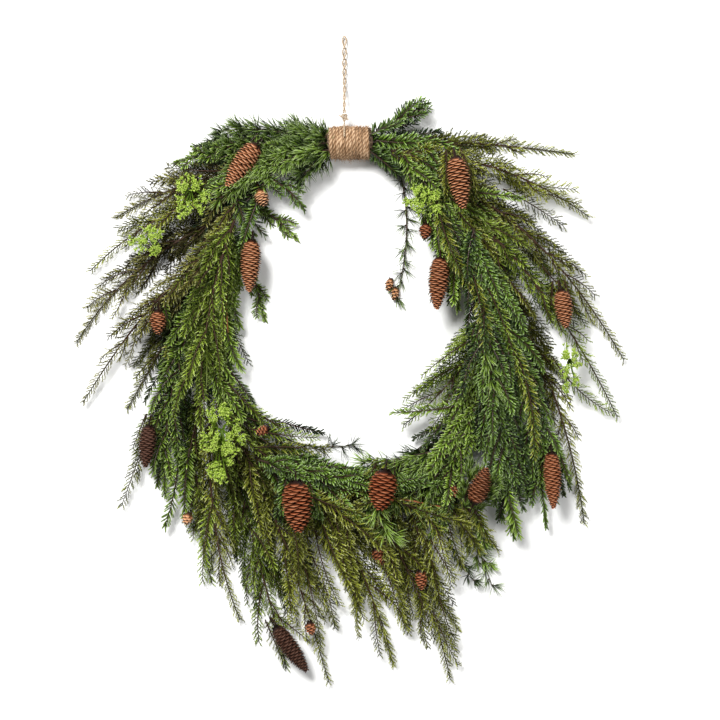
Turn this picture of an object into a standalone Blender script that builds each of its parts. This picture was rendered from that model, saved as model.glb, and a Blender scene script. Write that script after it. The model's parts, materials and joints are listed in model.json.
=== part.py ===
"""Evergreen wreath on a wire ring, with a jute binding and hanger, lying on its back.

Units are metres. +Z points up, out of the wreath's front, and +Y points from its middle
to the hanger. The origin is on the surface that the wreath lies on, under the middle of
its outline without the hanger. Tables below give millimetres from the ring's centre.

Every spray is a leaf-shaped solid that follows its branch. The sprays are laid one over
another as on a real wreath: each takes the lowest course in which it has room, and the
courses swell over the ring, so that the greenery is domed. Cones and seed heads sit on top.
"""

import math

import bmesh
import bpy
from mathutils import Matrix, Vector

MM = 0.001
GAP = 0.4 * MM  # clearance between pieces that touch

# Wire ring: an 18-inch wreath ring.
RING_CENTRE = Vector((-0.4 * MM, 122.0 * MM, 12.5 * MM))
RING_RADIUS = 228.5 * MM
RING_WIRE_RADIUS = 2.5 * MM
RING_STEPS = 60

# Thin wire wound round the ring, which ties the sprays on.
TIE_WIRE_RADIUS = 0.6 * MM
TIE_COIL_RADIUS = 4.3 * MM
TIE_TURNS = 26
TIE_STEPS_PER_TURN = 7
TIE_HALF_GAP = math.radians(11.0)  # left free on each side of the binding

# Jute binding at the top of the ring, and the cut stems inside it.
BINDING_TURNS = 12
BINDING_WIDTH = 60.0 * MM
BINDING_RADIUS = 24.0 * MM
BINDING_BORE = 17.6 * MM
BINDING_GROOVE = 1.2 * MM
BINDING_HEIGHT = 23.2 * MM
BINDING_PRESSED = 1.9 * MM
STEMS_HEIGHT = 28.6 * MM
STEMS_RADIUS = 10.4 * MM
STEMS_WIDTH = 63.0 * MM
STEM_COUNT = 7

# Hanger: jute twine, doubled and twisted, knotted above the binding.
TWINE_RADIUS = 1.1 * MM
HANGER_X = -8.0 * MM
KNOT_Y = 264.5 * MM
KNOT_Z = 25.0 * MM
KNOT_RADIUS = 4.6 * MM
KNOT_HALF_LENGTH = 5.2 * MM
HANGER_END_Y = 383.0 * MM
HANGER_OPEN = 2.5 * MM  # from the pair's middle to each strand, at the free end
HANGER_CLOSE = 1.3 * MM  # the same, near the knot
HANGER_DROP = 52.0 * MM  # length over which it comes down from the knot to the surface
HANGER_TWIST = math.radians(180.0)
HANGER_TWIST_LENGTH = 17.0 * MM  # for half a turn, near the free end
HANGER_EYE = 7.0 * MM  # left untwisted at the free end
HANGER_TIGHTER = 0.35  # share by which the twist tightens towards the knot
HANGER_STEPS = 52

# Courses of greenery over the ring.
COURSE_EDGE = 5.0 * MM
COURSE_SWELL = 8.5 * MM
COURSE_CLEAR = 1.6 * MM
BACK_THICKNESS = 6.0 * MM
FIRST_EDGE = 7.6 * MM
FIRST_SWELL = 10.6 * MM
SWELL_FLAT = 14.0 * MM
SWELL_REACH = 150.0 * MM
SPRAY_GAP = 3.0 * MM
SPRAY_STEPS = 11
OUTLINE_STEPS = 34

CYPRESS = ("cypress", (0.10, 0.17, 0.035), 0.60)
FIR = ("fir", (0.035, 0.12, 0.03), 0.45)
PINE = ("pine", (0.06, 0.15, 0.05), 0.50)

# Name, kind, foot, middle, tip, half the greatest width.
SPRAYS = (
    ("cypress_spray_bottom_1", CYPRESS, (-70, -245), (15, -375), (60, -505), 32),
    ("cypress_spray_bottom_2", CYPRESS, (-20, -245), (85, -370), (140, -525), 34),
    ("cypress_spray_low_left_3", CYPRESS, (-175, -190), (-130, -355), (-90, -510), 30),
    ("cypress_spray_right_5", CYPRESS, (160, 125), (275, -90), (330, -305), 31),
    ("cypress_spray_right_3", CYPRESS, (100, 190), (255, 95), (385, -75), 30),
    ("cypress_spray_left_3", CYPRESS, (-155, 135), (-290, 60), (-385, -50), 25),
    ("cypress_spray_left_5", CYPRESS, (-180, 95), (-245, -20), (-315, -145), 27),
    ("cypress_spray_left_1", CYPRESS, (-105, 195), (-225, 175), (-330, 125), 27),
    ("cypress_spray_right_1", CYPRESS, (40, 232), (180, 230), (315, 215), 24),
    ("cypress_spray_inner_right", CYPRESS, (210, 10), (155, -90), (75, -165), 36),
    ("fir_spray_low_right", FIR, (215, -60), (155, -190), (110, -340), 34),
    ("cypress_spray_low_left_4", CYPRESS, (-150, -190), (-85, -355), (-30, -530), 30),
    ("cypress_spray_low_left_2", CYPRESS, (-195, -160), (-190, -315), (-155, -440), 30),
    ("pine_spray_bottom", PINE, (105, -220), (160, -300), (200, -395), 25),
    ("pine_twig_bottom", PINE, (-155, -140), (-85, -190), (5, -195), 17),
    ("fir_spray_bottom", FIR, (-125, -214), (0, -240), (125, -246), 26),
    ("cypress_spray_low_left_1", CYPRESS, (-210, -120), (-220, -245), (-195, -390), 30),
    ("fir_spray_left_low", FIR, (-200, 35), (-250, -120), (-260, -265), 30),
    ("cypress_spray_left_4", CYPRESS, (-175, 85), (-280, -5), (-375, -135), 22),
    ("cypress_spray_left_2", CYPRESS, (-130, 175), (-265, 125), (-365, 50), 24),
    ("cypress_spray_right_4", CYPRESS, (135, 160), (275, 10), (375, -155), 30),
    ("fir_spray_right_1", FIR, (180, 80), (245, -130), (275, -310), 32),
    ("cypress_spray_right_2", CYPRESS, (60, 215), (210, 190), (335, 125), 27),
    ("fir_sprig_left_3", FIR, (-145, 60), (-130, 20), (-120, -20), 14),
    ("fir_spray_left_inner", FIR, (-148, 95), (-170, -20), (-165, -135), 25),
    ("fir_sprig_left_2", FIR, (-130, 140), (-100, 120), (-75, 95), 14),
    ("larch_twig_inner", PINE, (65, 205), (80, 115), (65, 10), 13),
    ("fir_spray_right_3", FIR, (75, 205), (130, 105), (150, -5), 25),
    ("fir_spray_right_2", FIR, (170, 105), (200, -105), (230, -325), 34),
    ("fir_spray_upper_left", FIR, (-75, 212), (-160, 220), (-245, 200), 27),
    ("fir_sprig_left_1", FIR, (-125, 180), (-90, 165), (-65, 135), 14),
    ("cypress_spray_left_6", CYPRESS, (-160, 115), (-200, -35), (-205, -190), 34),
    ("pine_spray_top_left", PINE, (-40, 229), (-110, 239), (-200, 234), 27),
    ("fir_sprig_top_right", FIR, (38, 246), (75, 265), (110, 285), 16),
)

CONE_BROWN = (0.30, 0.115, 0.055)
CONE_DARK = (0.10, 0.04, 0.025)

# Name, stalk end, tip, diameter, colour.
CONES = (
    ("cone_upper_left", (-130, 222), (-170, 165), 31, CONE_BROWN),
    ("cone_inner_left", (-136, 90), (-140, 20), 28, CONE_BROWN),
    ("cone_outer_left", (-265, -10), (-265, -40), 22, CONE_BROWN),
    ("cone_low_left", (-280, -168), (-285, -225), 24, CONE_DARK),
    ("cone_small_left", (-125, 158), (-118, 138), 20, CONE_BROWN),
    ("cone_upper_right", (145, 200), (155, 131), 31, CONE_BROWN),
    ("cone_inner_right", (125, 65), (120, -5), 28, CONE_BROWN),
    ("cone_small_right", (105, 110), (104, 91), 18, CONE_BROWN),
    ("cone_outer_right", (293, 20), (300, -31), 25, CONE_BROWN),
    ("cone_bottom_left", (-73, -243), (-69, -311), 40, CONE_BROWN),
    ("cone_bottom_middle", (49, -229), (41, -282), 38, CONE_BROWN),
    ("cone_bottom_right", (170, -270), (187, -223), 27, CONE_BROWN),
    ("cone_low_right", (280, -204), (283, -281), 24, CONE_BROWN),
    ("cone_hanging", (-104, -450), (-60, -511), 25, CONE_DARK),
)

SEED_GREEN = (0.25, 0.42, 0.04)

# Name, centre, half width, half length, half depth.
SEED_HEADS = (
    ("seed_head_upper_left", (-222, 152), 24, 30, 9),
    ("seed_head_outer_left", (-282, 92), 22, 20, 8),
    ("seed_head_upper_right", (102, 142), 27, 23, 9),
    ("seed_head_low_left", (-176, -190), 28, 52, 10),
    ("seed_head_outer_right", (306, -86), 14, 34, 8),
)


def clear_scene():
    for found in list(bpy.data.objects):
        bpy.data.objects.remove(found, do_unlink=True)


def material_of(name, colour, roughness, metallic=0.0):
    material = bpy.data.materials.get(name)
    if material:
        return material
    material = bpy.data.materials.new(name)
    material.use_nodes = True
    shader = material.node_tree.nodes["Principled BSDF"]
    shader.inputs["Base Color"].default_value = (*colour, 1.0)
    shader.inputs["Roughness"].default_value = roughness
    shader.inputs["Metallic"].default_value = metallic
    return material


def placed(x, y, z=0.0):
    """A point given in millimetres from the ring's centre, with its height above the surface in metres."""
    return Vector((x * MM + RING_CENTRE.x, y * MM + RING_CENTRE.y, z))


def add_skin(name, rings, material, smooth=True):
    """A closed solid through equal rings of points, with a flat cap on each end."""
    shape = bmesh.new()
    rows = [[shape.verts.new(point) for point in ring] for ring in rings]
    for row, following in zip(rows, rows[1:]):
        for i, vertex in enumerate(row):
            j = (i + 1) % len(row)
            shape.faces.new((vertex, row[j], following[j], following[i]))
    shape.faces.new(list(reversed(rows[0])))
    shape.faces.new(rows[-1])
    return add_shape(name, shape, material, smooth)


def add_shape(name, shape, material, smooth=True):
    bmesh.ops.recalc_face_normals(shape, faces=shape.faces)
    mesh = bpy.data.meshes.new(name)
    shape.to_mesh(mesh)
    shape.free()
    if smooth:
        mesh.shade_smooth()
        mesh.set_sharp_from_angle(angle=math.radians(50.0))
    mesh.materials.append(material)
    piece = bpy.data.objects.new(name, mesh)
    bpy.context.scene.collection.objects.link(piece)
    return piece


def add_cord(name, points, radius, material, bevel_resolution=2):
    """A round cord along the points, with filled ends."""
    curve = bpy.data.curves.new(name, "CURVE")
    curve.dimensions = "3D"
    curve.bevel_depth = radius
    curve.bevel_resolution = bevel_resolution
    curve.use_fill_caps = True
    spline = curve.splines.new("POLY")
    spline.points.add(len(points) - 1)
    for target, point in zip(spline.points, points):
        target.co = (*point, 1.0)
    curve.materials.append(material)
    piece = bpy.data.objects.new(name, curve)
    bpy.context.scene.collection.objects.link(piece)
    return piece


def smooth_step(value):
    value = min(max(value, 0.0), 1.0)
    return value * value * (3.0 - 2.0 * value)


# ---------------------------------------------------------------- wire ring and its tie


def ring_point(angle, out=0.0, up=0.0):
    """A point beside the ring's wire; the angle runs clockwise from the hanger."""
    reach = RING_RADIUS + out
    return RING_CENTRE + Vector((reach * math.sin(angle), reach * math.cos(angle), up))


def build_ring():
    shape = bmesh.new()
    sides = 8
    loops = []
    for step in range(RING_STEPS):
        angle = 2.0 * math.pi * step / RING_STEPS
        loop = []
        for side in range(sides):
            turn = 2.0 * math.pi * (side + 0.5) / sides
            out = RING_WIRE_RADIUS * math.cos(turn)
            up = RING_WIRE_RADIUS * math.sin(turn)
            loop.append(shape.verts.new(ring_point(angle, out, up)))
        loops.append(loop)
    for step, loop in enumerate(loops):
        following = loops[(step + 1) % RING_STEPS]
        for side, vertex in enumerate(loop):
            beside = (side + 1) % sides
            shape.faces.new((vertex, loop[beside], following[beside], following[side]))
    wire = material_of("painted_wire", (0.02, 0.06, 0.03), 0.45, 0.6)
    add_shape("frame_ring", shape, wire)


def build_tie_wire():
    count = TIE_TURNS * TIE_STEPS_PER_TURN
    sides = 4
    rings = []
    for step in range(count + 1):
        share = step / count
        angle = TIE_HALF_GAP + share * (2.0 * math.pi - 2.0 * TIE_HALF_GAP)
        turn = 2.0 * math.pi * TIE_TURNS * share
        ring = []
        for side in range(sides):
            # Sections face along the ring's own direction, turned with the coil.
            around = 2.0 * math.pi * side / sides
            reach = TIE_COIL_RADIUS + TIE_WIRE_RADIUS * math.cos(around)
            along = TIE_WIRE_RADIUS * 1.6 * math.sin(around)
            ring.append(
                ring_point(
                    angle + along / RING_RADIUS,
                    reach * math.cos(turn),
                    reach * math.sin(turn),
                )
            )
        rings.append(ring)
    wire = material_of("tie_wire", (0.03, 0.08, 0.04), 0.4, 0.7)
    add_skin("tie_wire", rings, wire)


# ---------------------------------------------------------------- binding and hanger


def build_binding():
    """Jute wound round the stems: a sleeve with a ridge for each turn, pressed flat underneath."""
    sides = 20
    profile = [(-BINDING_WIDTH / 2.0, BINDING_BORE)]
    turn_width = BINDING_WIDTH / BINDING_TURNS
    for turn in range(BINDING_TURNS):
        left = -BINDING_WIDTH / 2.0 + turn * turn_width
        swell = 1.0 - 0.05 * abs(2.0 * (turn + 0.5) / BINDING_TURNS - 1.0) ** 3
        crest = BINDING_RADIUS * swell
        profile.append((left, crest - BINDING_GROOVE))
        profile.append((left + 0.3 * turn_width, crest))
        profile.append((left + 0.7 * turn_width, crest))
    right = BINDING_WIDTH / 2.0
    profile.append((right, BINDING_RADIUS * 0.95 - BINDING_GROOVE))
    profile.append((right, BINDING_BORE))
    middle = Vector((RING_CENTRE.x, RING_CENTRE.y + RING_RADIUS, BINDING_HEIGHT))
    shape = bmesh.new()
    rows = []
    for along, reach in profile:
        row = []
        for side in range(sides):
            around = 2.0 * math.pi * (side + 0.5) / sides
            point = middle + Vector((along, reach * math.cos(around), reach * math.sin(around)))
            if point.z < BINDING_PRESSED:
                point.z = 0.0
            row.append(shape.verts.new(point))
        rows.append(row)
    for i, row in enumerate(rows):
        following = rows[(i + 1) % len(rows)]
        for side, vertex in enumerate(row):
            beside = (side + 1) % sides
            shape.faces.new((vertex, row[beside], following[beside], following[side]))
    add_shape("jute_binding", shape, material_of("jute", (0.48, 0.29, 0.13), 0.85))


def build_stems():
    """The cut branch ends that the binding holds: a round bundle with a lobe for each stem."""
    steps = 4 * STEM_COUNT
    middle = Vector((RING_CENTRE.x, RING_CENTRE.y + RING_RADIUS, STEMS_HEIGHT))
    rings = []
    for along in (-0.5, -0.42, 0.42, 0.5):
        taper = 1.0 if abs(along) < 0.45 else 0.86
        ring = []
        for step in range(steps):
            around = 2.0 * math.pi * step / steps
            lobe = 0.91 + 0.09 * math.cos(STEM_COUNT * around)
            reach = STEMS_RADIUS * lobe * taper
            offset = Vector((0.0, reach * math.cos(around), reach * math.sin(around)))
            ring.append(middle + Vector((along * STEMS_WIDTH, 0.0, 0.0)) + offset)
        rings.append(ring)
    add_skin("stem_bundle", rings, material_of("bark", (0.16, 0.09, 0.05), 0.8))


def build_hanger():
    jute = material_of("jute", (0.48, 0.29, 0.13), 0.85)
    x = RING_CENTRE.x + HANGER_X
    knot = Vector((x, RING_CENTRE.y + KNOT_Y, KNOT_Z))
    axle = Vector((x, RING_CENTRE.y + RING_RADIUS, BINDING_HEIGHT))

    # The tie comes out of the binding's front and follows it round to the knot.
    reach = BINDING_RADIUS + TWINE_RADIUS + 2.0 * GAP
    tie = []
    for step in range(9):
        around = math.radians(78.0 - 7.2 * step)
        tie.append(axle + Vector((0.0, reach * math.cos(around), reach * math.sin(around))))
    last = knot - Vector((0.0, KNOT_HALF_LENGTH + 3.0 * GAP, -1.0 * MM))
    tie = [point for point in tie if point.y < last.y - 2.0 * MM]
    tie.append(last)
    add_cord("hanger_tie", tie, TWINE_RADIUS, jute)

    shape = bmesh.new()
    bmesh.ops.create_icosphere(shape, subdivisions=2, radius=KNOT_RADIUS)
    longer = KNOT_HALF_LENGTH / KNOT_RADIUS
    bmesh.ops.scale(shape, vec=(1.0, longer, 0.9), verts=shape.verts)
    bmesh.ops.translate(shape, vec=knot, verts=shape.verts)
    add_shape("hanger_knot", shape, jute)

    # The doubled twine: out along one strand, round the end, back along the other.
    start = knot.y + KNOT_HALF_LENGTH + GAP
    end = RING_CENTRE.y + HANGER_END_Y - TWINE_RADIUS
    low = HANGER_OPEN + TWINE_RADIUS + 2.0 * GAP
    lay = []
    for step in range(HANGER_STEPS):
        share = step / (HANGER_STEPS - 1)
        y = start + share * (end - start)
        height = low + (KNOT_Z - low) * (1.0 - smooth_step((y - start) / HANGER_DROP))
        wound = max(end - y - HANGER_EYE, 0.0)
        tightened = 1.0 + HANGER_TIGHTER * wound / (end - start)
        turn = HANGER_TWIST * tightened * wound / HANGER_TWIST_LENGTH
        opened = HANGER_CLOSE + (HANGER_OPEN - HANGER_CLOSE) * smooth_step(2.2 * share - 0.5)
        if step == HANGER_STEPS - 1:
            opened = 0.0
        elif step == HANGER_STEPS - 2:
            opened = 0.8 * HANGER_OPEN
        offset = Vector((opened * math.cos(turn), 0.0, opened * math.sin(turn)))
        lay.append((Vector((x, y, height)), offset))
    there = [middle + offset for middle, offset in lay]
    back = [middle - offset for middle, offset in reversed(lay[:-1])]
    add_cord("hanger_loop", there + back, TWINE_RADIUS, jute)


# ---------------------------------------------------------------- greenery


def swell_at(x, y):
    """1 over the ring, falling smoothly to 0 at the greenery's edges."""
    away = abs(math.hypot(x - RING_CENTRE.x, y - RING_CENTRE.y) - RING_RADIUS)
    return 1.0 - smooth_step((away - SWELL_FLAT) / SWELL_REACH)


def course_floor(course, x, y):
    if course == 0:
        return 0.0
    swell = swell_at(x, y)
    first = FIRST_EDGE + FIRST_SWELL * swell
    return first + (course - 1) * (COURSE_EDGE + COURSE_SWELL * swell)


def course_roof(course, x, y):
    if course == 0:
        return BACK_THICKNESS
    return course_floor(course + 1, x, y) - COURSE_CLEAR


def branch_at(share, foot, middle, tip):
    """A point on the curve from foot to tip that passes through the middle."""
    bend = 2.0 * middle - 0.5 * (foot + tip)
    rest = 1.0 - share
    return rest * rest * foot + 2.0 * rest * share * bend + share * share * tip


def half_width_at(share, greatest):
    """Narrow at the cut foot, widest past the middle, pointed at the tip."""
    rise = 0.34 + 0.66 * smooth_step(share / 0.45)
    fall = 1.0 - 0.84 * max(0.0, (share - 0.55) / 0.45) ** 1.6
    return greatest * rise * fall


def outline_of(foot, middle, tip, greatest):
    """Discs that cover the spray as seen from the front: (x, y, radius)."""
    discs = []
    for step in range(OUTLINE_STEPS):
        share = step / (OUTLINE_STEPS - 1)
        point = branch_at(share, foot, middle, tip)
        discs.append((point.x, point.y, half_width_at(share, greatest)))
    return discs


def discs_meet(some, others, gap):
    for x, y, radius in some:
        for other_x, other_y, other_radius in others:
            if math.hypot(x - other_x, y - other_y) < radius + other_radius + gap:
                return True
    return False


def lowest_course(discs, laid, first):
    course = first
    while any(discs_meet(discs, other, SPRAY_GAP) for level, other in laid if level == course):
        course += 1
    return course


def build_spray(name, kind, foot, middle, tip, greatest, course):
    rings = []
    for step in range(SPRAY_STEPS):
        share = step / (SPRAY_STEPS - 1)
        point = branch_at(share, foot, middle, tip)
        ahead = branch_at(min(share + 0.01, 1.0), foot, middle, tip)
        behind = branch_at(max(share - 0.01, 0.0), foot, middle, tip)
        across = (ahead - behind).normalized().cross(Vector((0.0, 0.0, 1.0)))
        half = half_width_at(share, greatest)
        ring = []
        for side, lift in ((-1.0, 0.5), (-0.55, 1.0), (0.55, 1.0), (1.0, 0.5), (0.55, 0.0), (-0.55, 0.0)):
            spot = point + across * half * side
            floor = course_floor(course, spot.x, spot.y)
            roof = course_roof(course, spot.x, spot.y)
            spot.z = floor + lift * (roof - floor)
            ring.append(spot)
        rings.append(ring)
    title, colour, roughness = kind
    add_skin(name, rings, material_of(title, colour, roughness))


def build_greenery():
    """Lays the sprays in order and returns (course, discs) for each."""
    laid = []
    for name, kind, foot, middle, tip, greatest in SPRAYS:
        foot, middle, tip = placed(*foot), placed(*middle), placed(*tip)
        discs = outline_of(foot, middle, tip, greatest * MM)
        course = lowest_course(discs, laid, 0)
        laid.append((course, discs))
        build_spray(name, kind, foot, middle, tip, greatest * MM, course)
    return laid


def top_under(discs, laid):
    """The greatest height of the greenery below these discs."""
    top = 0.0
    for course, others in laid:
        if not discs_meet(discs, others, SPRAY_GAP):
            continue
        for x, y, radius in discs:
            for turn in range(8):
                around = math.pi * turn / 4.0
                side = x + radius * math.cos(around)
                ahead = y + radius * math.sin(around)
                top = max(top, course_roof(course, side, ahead))
            top = max(top, course_roof(course, x, y))
    return top


# ---------------------------------------------------------------- cones and seed heads


def build_cones(laid):
    """Spruce cones, broadest below their middle, on top of the greenery."""
    profile = ((0.0, 0.30), (0.07, 0.72), (0.25, 0.97), (0.45, 1.0), (0.7, 0.86), (0.9, 0.52), (1.0, 0.2))
    sides = 9
    for name, stalk, tip, diameter, colour in CONES:
        stalk, tip, radius = placed(*stalk), placed(*tip), diameter * MM / 2.0
        steps = 8
        discs = []
        for step in range(steps):
            point = stalk.lerp(tip, step / (steps - 1))
            discs.append((point.x, point.y, radius))
        height = top_under(discs, laid) + radius + 2.0 * GAP
        direction = (tip - stalk).normalized()
        across = direction.cross(Vector((0.0, 0.0, 1.0)))
        rings = []
        for share, width in profile:
            middle = stalk.lerp(tip, share)
            ring = []
            for side in range(sides):
                around = 2.0 * math.pi * side / sides
                spot = middle + across * radius * width * math.cos(around)
                spot.z = height + radius * width * math.sin(around)
                ring.append(spot)
            rings.append(ring)
        add_skin(name, rings, material_of("cone_dark" if colour is CONE_DARK else "cone", colour, 0.6))


def build_seed_heads(laid):
    """Clusters of small green seeds, each as one flattened mound."""
    green = material_of("seed_head", SEED_GREEN, 0.5)
    for name, centre, half_width, half_length, half_depth in SEED_HEADS:
        centre = placed(*centre)
        discs = []
        for step in range(7):
            along = (step / 3.0 - 1.0) * max(half_length - half_width, 1.0) * MM
            reach = min(half_width, half_length) * MM
            discs.append((centre.x, centre.y + along, reach))
        centre.z = top_under(discs, laid) + half_depth * MM + 2.0 * GAP
        shape = bmesh.new()
        bmesh.ops.create_icosphere(shape, subdivisions=2, radius=1.0)
        grow = Matrix.Diagonal((half_width * MM, half_length * MM, half_depth * MM, 1.0))
        bmesh.ops.transform(shape, matrix=Matrix.Translation(centre) @ grow, verts=shape.verts)
        add_shape(name, shape, green)


def main():
    clear_scene()
    build_ring()
    build_tie_wire()
    build_binding()
    build_stems()
    build_hanger()
    laid = build_greenery()
    build_cones(laid)
    build_seed_heads(laid)


main()
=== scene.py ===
"""Looks of the evergreen wreath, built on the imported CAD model.

The wreath lies on its back and the camera looks straight down on it. Every spray's twigs
and needles grow along the spine of its CAD solid, every cone's scales round its solid.
"""

import json
import math
import zlib

import bpy
import numpy as np
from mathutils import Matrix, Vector


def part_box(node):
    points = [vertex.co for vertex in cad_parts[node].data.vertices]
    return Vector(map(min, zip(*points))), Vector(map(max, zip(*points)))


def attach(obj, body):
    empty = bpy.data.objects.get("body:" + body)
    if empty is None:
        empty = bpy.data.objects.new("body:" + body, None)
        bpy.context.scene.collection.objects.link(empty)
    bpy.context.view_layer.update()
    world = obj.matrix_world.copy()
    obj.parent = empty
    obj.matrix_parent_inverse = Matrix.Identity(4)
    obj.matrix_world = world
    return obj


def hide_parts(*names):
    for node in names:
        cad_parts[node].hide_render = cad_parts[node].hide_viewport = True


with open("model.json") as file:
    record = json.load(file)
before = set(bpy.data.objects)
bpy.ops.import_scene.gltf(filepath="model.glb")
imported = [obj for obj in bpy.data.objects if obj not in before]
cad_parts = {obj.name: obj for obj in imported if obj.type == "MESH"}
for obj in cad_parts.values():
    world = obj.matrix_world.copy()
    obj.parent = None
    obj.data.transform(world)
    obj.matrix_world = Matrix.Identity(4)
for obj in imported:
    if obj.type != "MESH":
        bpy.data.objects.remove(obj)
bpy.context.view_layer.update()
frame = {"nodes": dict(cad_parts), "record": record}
NODES = frame["nodes"]
SLOT_OF = {row["node"]: row["material_slot"] for row in frame["record"]["subparts"]}
MM = 0.001
# Thin sprigs that no cover shoots are given to.
BARE_TWIGS = ("larch_twig_inner", "pine_twig_bottom", "fir_sprig_left_2", "fir_sprig_left_3")

scene = bpy.context.scene
scene.view_settings.view_transform = "Standard"

# ------------------------------------------------------------------ camera, lights, floor

ring_low, ring_high = (np.array(corner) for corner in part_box("frame_ring"))
RING_MIDDLE = (ring_low + ring_high) / 2.0
RING_RADIUS = (ring_high[0] - ring_low[0]) / 2.0 - 2.5 * MM

VIEW_WIDTH = 1.008  # metres across the picture at the greenery
VIEW_OFFSET = np.array([14.0, -75.6]) * MM  # picture's middle from the ring's centre
LENS = 85.0
SENSOR = 36.0
AIM_HEIGHT = 0.025
# Name, place, width and power of each light; both look at the origin.
LIGHTS = (("key_light", (-1.0, 1.5, 2.6), 1.1, 147.0), ("fill_light", (1.6, -0.4, 2.4), 1.6, 32.0))
WORLD_STRENGTH = 0.13
FLOOR = 6.0  # half the floor's width in metres


def add_camera():
    data = bpy.data.cameras.new("camera")
    data.lens = LENS
    data.sensor_width = SENSOR
    scene.camera = bpy.data.objects.new("camera", data)
    scene.collection.objects.link(scene.camera)
    scene.camera.location = (*(RING_MIDDLE[:2] + VIEW_OFFSET), AIM_HEIGHT + VIEW_WIDTH * LENS / SENSOR)


def add_light(name, place, width, power):
    data = bpy.data.lights.new(name, "AREA")
    data.shape = "SQUARE"
    data.size = width
    data.energy = power
    lamp = bpy.data.objects.new(name, data)
    lamp.location = place
    lamp.rotation_euler = (-Vector(place)).to_track_quat("-Z", "Y").to_euler()
    scene.collection.objects.link(lamp)


def add_world():
    scene.world = bpy.data.worlds.new("studio")
    scene.world.use_nodes = True
    background = scene.world.node_tree.nodes["Background"]
    background.inputs["Color"].default_value = (1.0, 1.0, 1.0, 1.0)
    background.inputs["Strength"].default_value = WORLD_STRENGTH


def new_material(name):
    """A material, its node tree and its shader."""
    material = bpy.data.materials.new(name)
    material.use_nodes = True
    return material, material.node_tree, material.node_tree.nodes["Principled BSDF"]


def add_floor():
    mesh = bpy.data.meshes.new("floor")
    corners = [(x * FLOOR, y * FLOOR, 0.0) for x, y in ((-1, -1), (1, -1), (1, 1), (-1, 1))]
    mesh.from_pydata(corners, [], [(0, 1, 2, 3)])
    floor = bpy.data.objects.new("floor", mesh)
    scene.collection.objects.link(floor)
    material, _, shader = new_material("floor_paper")
    shader.inputs["Base Color"].default_value = (0.93, 0.93, 0.92, 1.0)
    shader.inputs["Roughness"].default_value = 0.9
    mesh.materials.append(material)


add_camera()
for row in LIGHTS:
    add_light(*row)
add_world()
add_floor()

# ------------------------------------------------------------------ directions and lines

UP = np.array([0.0, 0.0, 1.0])


def unit(vectors):
    return vectors / np.maximum(np.linalg.norm(vectors, axis=-1, keepdims=True), 1e-12)


def across_of(directions):
    """Two unit vectors square to each direction."""
    up = np.where(np.abs(directions[..., 2:3]) < 0.9, (0.0, 0.0, 1.0), (1.0, 0.0, 0.0))
    first = unit(np.cross(directions, up))
    return first, np.cross(directions, first)


def turned(first, second, angle):
    """Directions at these angles from first towards second."""
    return first * np.cos(angle)[..., None] + second * np.sin(angle)[..., None]


def flat_way(angle):
    return np.array([math.cos(angle), math.sin(angle)])


def left_of(way):
    """The flat direction a quarter turn to the left of this one."""
    return np.array([-way[1], way[0]])


def alternating(count):
    """1, -1, 1 and so on, for shoots that leave a stem by turns on either side."""
    return np.where(np.arange(count) % 2 == 0, 1.0, -1.0)


def spaced(rng, length, count, low=0.2, high=0.8):
    """Distances along a stem: one in each of count equal steps, from low to high in its step."""
    return length * (np.arange(count) + rng.uniform(low, high, count)) / count


def reach_of(line):
    """The distance of each point of a line from its start, measured along it."""
    return np.concatenate([[0.0], np.cumsum(np.linalg.norm(np.diff(line, axis=0), axis=1))])


def length_of(line):
    return float(reach_of(line)[-1])


def along_line(line, distance):
    """Points and unit directions at these distances along a line."""
    reach = reach_of(line)

    def point(at):
        return np.stack([np.interp(at, reach, line[:, axis]) for axis in range(3)], -1)

    return point(distance), unit(point(distance + 2.0 * MM) - point(distance - 2.0 * MM))


def bent_line(foot, way, toward, length, steps, bend):
    """A line from each foot, starting along way and turning to toward."""
    share = bend * np.linspace(0.0, 1.0, steps)[None, :-1, None]
    moves = unit(way[:, None] * (1.0 - share) + toward[:, None] * share)
    moves = moves * (length / (steps - 1))[:, None, None]
    return foot[:, None] + np.concatenate([np.zeros((len(foot), 1, 3)), np.cumsum(moves, 1)], 1)


# ------------------------------------------------------------------ mesh building

TONE_MAP = "OFBake"
LEAF_TINT = 0.8  # the freshest leaf's tint
WOOD_FROM = 0.84  # tints above this are wood
BARK_TINT = 0.92
EDGE_TINT = 0.012  # how far tints differ round one shape
# Greenery that would reach the surface lies on it: it eases from SOFT down to no lower than LOWEST.
LOWEST = 0.6 * MM
SOFT = 3.0 * MM
# Painted shade: tints other than wood's are darkened low in the wreath, fully near the ring, and not at all
# from the far distance below on or from this height up.
SHADE_HEIGHT = 42.0 * MM
SHADE_NEAR = 32.0 * MM
SHADE_FAR = 112.0 * MM
PAINTED_SHADE_CHANGE = 0.5


def tube_faces(stations, sides):
    """The faces between the rings of a tube."""
    row, side = (grid.ravel() for grid in np.indices((stations - 1, sides)))
    here, beside = row * sides + side, row * sides + (side + 1) % sides
    return np.stack([here, beside, beside + sides, here + sides], 1)


def end_faces(first, sides):
    """The faces that close the ring which starts at this point."""
    return np.array([[first, first + side, first + side + 1] for side in range(1, sides - 1)])


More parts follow.
